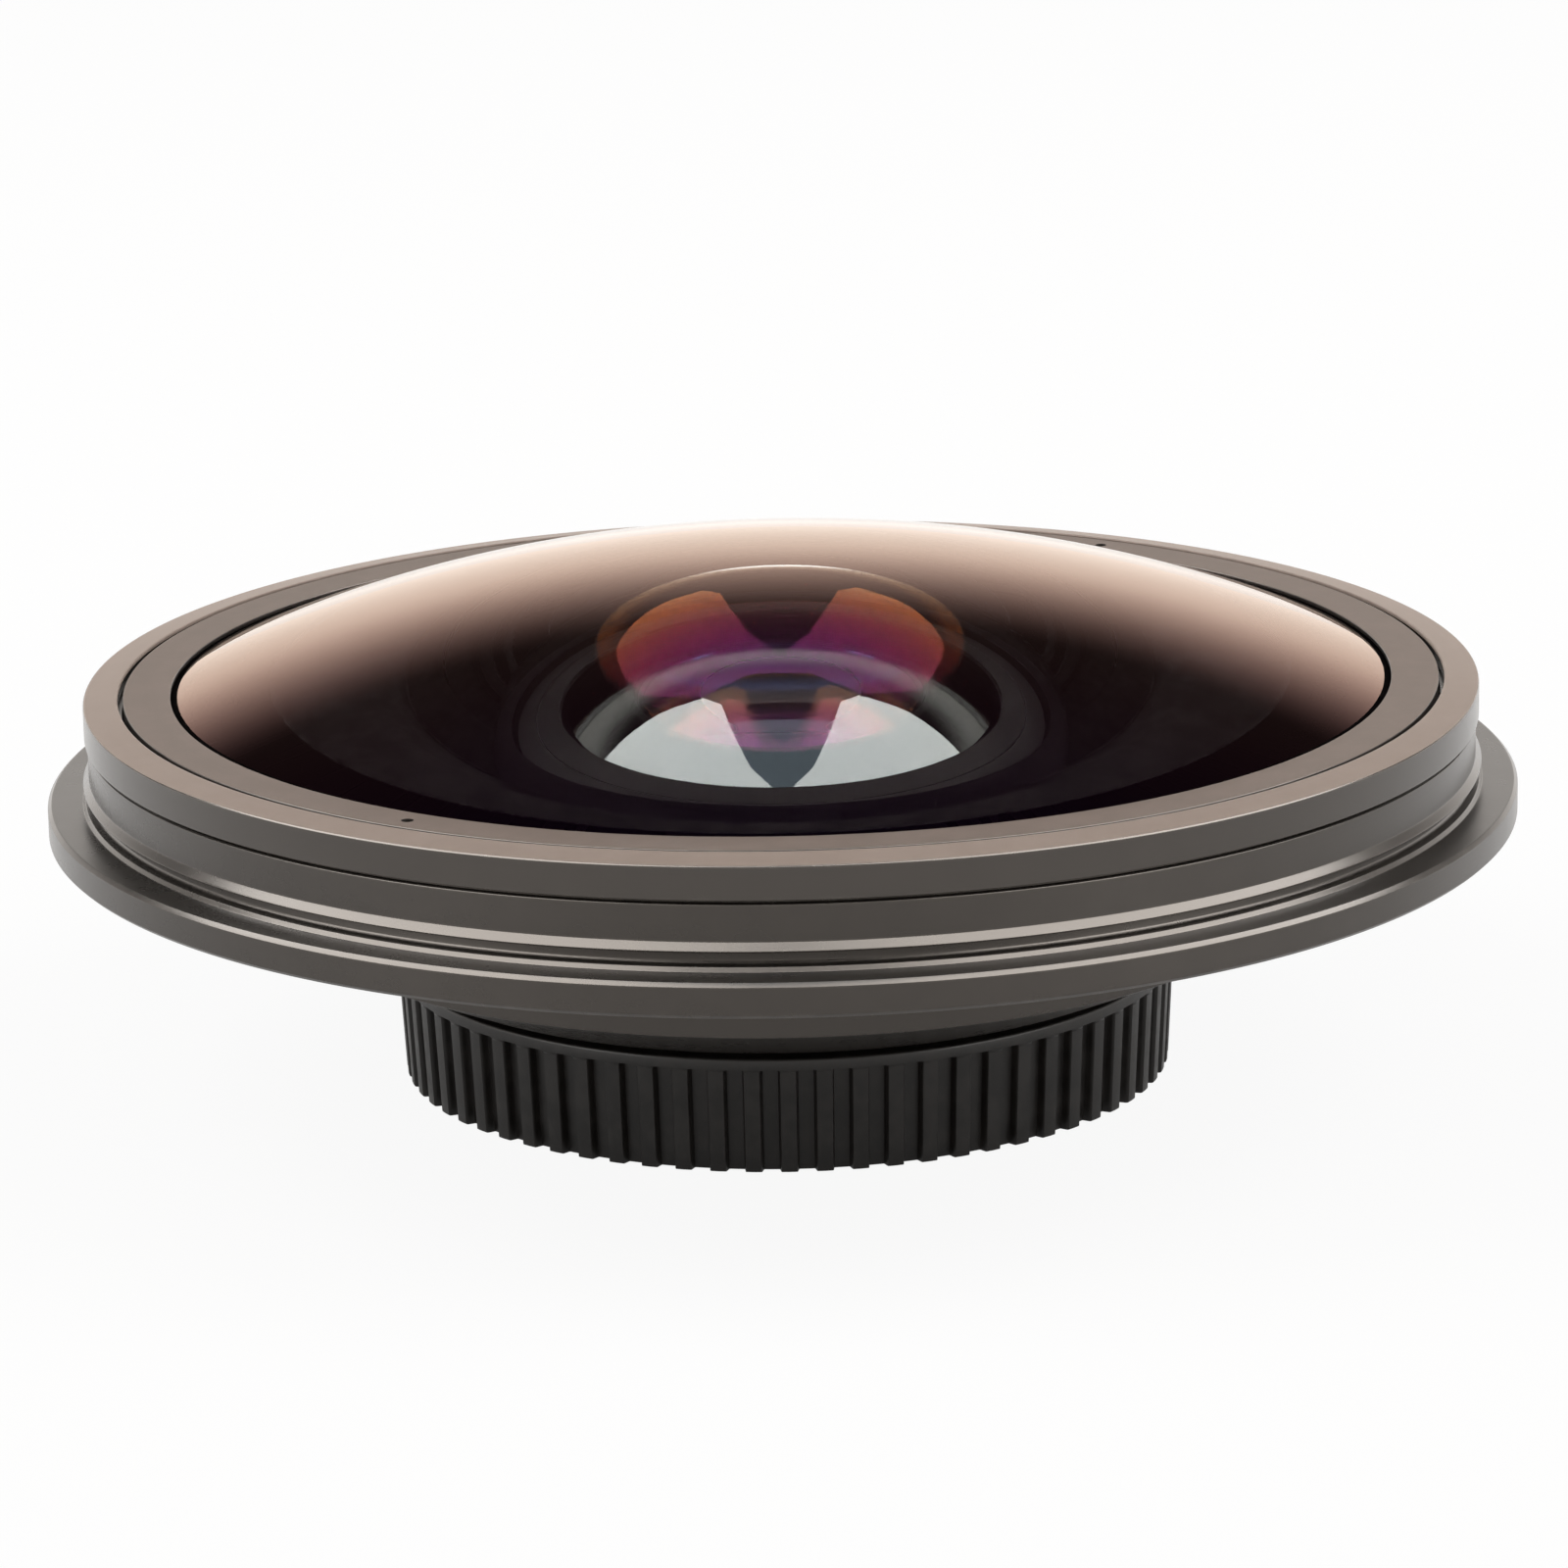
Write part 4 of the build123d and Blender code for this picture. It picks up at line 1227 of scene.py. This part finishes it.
# Metal and glass see the floor's white dimmed near the object: a painted shadow of it.
FLOOR_NEAR_GLOW = 0.22  # share of white that metal and glass see close by, all of it far off
FLOOR_MIRRORED_BOOST = 0.6

SURROUND_DARK_ABOVE = sin(radians(29))  # heights of a direction that is 1 long
SURROUND_WHITE_BELOW = sin(radians(8))
SURROUND_LEVEL = 1.65  # as metal and glass see it
SURROUND_DARK_LEVEL = 0.05
DIFFUSE_LEVEL = 0.6  # as it lights matt faces
AMBIENT_LEVEL = 0.35
SURROUND_COLOR = (1.0, 0.95, 0.9, 1)

# Corners of the left light panel: right, away from the camera, and up from the glass. The right
# one is its mirror image. They meet over the front of the lens and part behind it.
PANEL = (
    (-0.001, -0.5, 0.52),
    (-0.001, -0.33, 0.56),
    (-0.116, -0.145, 0.58),
    (-0.24, 0.33, 0.53),
    (-0.34, 0.43, 0.5),
    (-0.5, 0.3, 0.4),
    (-0.8, -0.05, 0.25),
    (-0.8, -0.55, 0.1),
    (-0.42, -0.66, 0.32),
    (-0.15, -0.5, 0.5),
)
PANEL_LEVEL = 9.0
PANEL_COLOR = (1.0, 0.985, 0.965, 1)
# A dimmer, bluer panel above both, which shows in the wedge between them.
CEILING = ((0.2, -0.5, 0.66), (0.3, 0.2, 0.66), (-0.3, 0.2, 0.66), (-0.2, -0.5, 0.66))
CEILING_LEVEL = 1.6
CEILING_COLOR = (0.75, 0.88, 1.0, 1)
PANEL_BASE_Z = 0.02

LAMP_AZIMUTH = 80  # degrees to either side, from straight behind the object
LAMP_ELEVATION = 42
LAMP_DISTANCE = 0.8
LAMP_SIZE = 0.6
LAMP_LEVEL = 2.9
LAMP_TARGET = Vector((0, 0, 0.015))


def make_floor():
    """A pale floor, white to the camera apart from the object's shadow, and clear from below.

    Metal and glass see it white too, but darker near the object. What is seen through glass is
    the plain floor."""
    bm = bmesh.new()
    bmesh.ops.create_grid(bm, x_segments=1, y_segments=1, size=FLOOR_SIZE)
    floor = add_object("floor", bm)
    material, shading = empty_material("pale_floor")
    path = shading.add("ShaderNodeLightPath").outputs
    mirrored = shading.math("SUBTRACT", path["Is Glossy Ray"], path["Is Transmission Ray"], clamp=True)
    distance = shading.add("ShaderNodeVectorMath", operation="LENGTH")
    shading.join(shading.place(), distance.inputs[0])
    # The white that metal and glass see falls off towards the object, as a painted shadow.
    glow = shading.remap(distance.outputs["Value"], FLOOR_NEAR, FLOOR_FAR, FLOOR_NEAR_GLOW, 1.0)
    shown = shading.math("MULTIPLY", path["Is Camera Ray"], FLOOR_SHOWN)
    share = shading.math("MAXIMUM", shown, shading.math("MULTIPLY", mirrored, glow))
    boost = shading.math("MULTIPLY", mirrored, FLOOR_MIRRORED_BOOST)
    matt = shading.add("ShaderNodeBsdfDiffuse")
    matt.inputs["Color"].default_value = FLOOR_COLOR
    white = shading.add("ShaderNodeEmission")
    shading.join(shading.math("ADD", boost, 1.0), white.inputs["Strength"])
    top = shading.mix_shader(share, matt.outputs[0], white.outputs[0])
    below = shading.add("ShaderNodeNewGeometry").outputs["Backfacing"]
    clear = shading.add("ShaderNodeBsdfTransparent").outputs[0]
    show(shading, shading.mix_shader(below, top, clear))
    floor.data.materials.append(material)


def make_surround():
    """A white studio surround low down that fades to dark higher up, as the dome shows it."""
    world = bpy.data.worlds.new("studio")
    bpy.context.scene.world = world
    world.use_nodes = True
    world.node_tree.nodes.clear()
    shading = Shading(world.node_tree)
    direction = shading.add("ShaderNodeTexCoord").outputs["Generated"]
    ramp = shading.remap(shading.split(direction)["Z"], SURROUND_DARK_ABOVE, SURROUND_WHITE_BELOW)
    path = shading.add("ShaderNodeLightPath").outputs
    seen = path["Is Camera Ray"]
    mirrored = shading.math("ADD", shading.math("MULTIPLY", ramp, SURROUND_LEVEL), SURROUND_DARK_LEVEL)
    for_light = shading.math("ADD", shading.math("MULTIPLY", ramp, DIFFUSE_LEVEL), AMBIENT_LEVEL)
    level = shading.mix_number(path["Is Diffuse Ray"], mirrored, for_light)
    background = shading.add("ShaderNodeBackground")
    shading.join(shading.mix(seen, SURROUND_COLOR, WHITE), background.inputs["Color"])
    shading.join(shading.mix_number(seen, level, 1.0), background.inputs["Strength"])
    show(shading, background.outputs[0], "ShaderNodeOutputWorld")


def make_panel(name, corners, level, color, side=1):
    """A large flat light that only polished and glossy faces see. A side of -1 mirrors it."""
    bm = bmesh.new()
    bm.faces.new([bm.verts.new((side * x, y, z + PANEL_BASE_Z)) for x, y, z in corners])
    panel = add_object(name, bm)
    panel.visible_camera = False
    panel.visible_diffuse = False
    panel.visible_shadow = False
    material, shading = empty_material(name)
    glow = shading.add("ShaderNodeEmission")
    glow.inputs["Color"].default_value = color
    glow.inputs["Strength"].default_value = level
    show(shading, glow.outputs[0])
    panel.data.materials.append(material)


def make_lamp(name, side):
    """A soft square lamp that lights matt faces, at the left for a side of -1."""
    lamp = bpy.data.lights.new(name, "AREA")
    lamp.shape = "SQUARE"
    lamp.size = LAMP_SIZE
    lamp.energy = LAMP_LEVEL * LAMP_SIZE**2 * pi
    azimuth = radians(side * LAMP_AZIMUTH)
    elevation = radians(LAMP_ELEVATION)
    away = Vector((sin(azimuth) * cos(elevation), cos(azimuth) * cos(elevation), sin(elevation)))
    softbox = bpy.data.objects.new(name, lamp)
    softbox.location = LAMP_TARGET + LAMP_DISTANCE * away
    softbox.rotation_euler = (-away).to_track_quat("-Z", "Y").to_euler()
    softbox.visible_glossy = False
    softbox.visible_transmission = False
    bpy.context.scene.collection.objects.link(softbox)


def make_camera():
    """The photograph's view: distance, height, roll and lens that its circles give."""
    camera = bpy.data.cameras.new("camera")
    view = bpy.data.objects.new("camera", camera)
    bpy.context.scene.collection.objects.link(view)
    elevation = radians(15.07)
    roll = radians(1.085)
    distance = 450.0
    aim_z = 19.7
    aside = 0.11
    forward = Vector((0, cos(elevation), -sin(elevation)))
    right = Vector((1, 0, 0))
    up = Vector((0, sin(elevation), cos(elevation)))
    x_axis = right * cos(roll) - up * sin(roll)
    y_axis = right * sin(roll) + up * cos(roll)
    place = Vector((aside, 0, aim_z)) - forward * distance
    turn = Matrix((x_axis, y_axis, -forward)).transposed().to_4x4()
    view.matrix_world = Matrix.Translation(place * MM) @ turn
    frame_px = 1600
    focal_px = 6852
    axis_above_middle_px = 13
    camera.sensor_width = 36.0
    camera.lens = focal_px / frame_px * camera.sensor_width
    camera.shift_y = -axis_above_middle_px / frame_px
    camera.clip_start = 0.01
    bpy.context.scene.camera = view


make_floor()
make_surround()
make_panel("panel_left", PANEL, PANEL_LEVEL, PANEL_COLOR)
make_panel("panel_right", PANEL, PANEL_LEVEL, PANEL_COLOR, side=-1)
make_panel("ceiling", CEILING, CEILING_LEVEL, CEILING_COLOR)
make_lamp("lamp_left", side=-1)
make_lamp("lamp_right", side=1)
make_camera()
bpy.context.scene.view_settings.view_transform = "Standard"
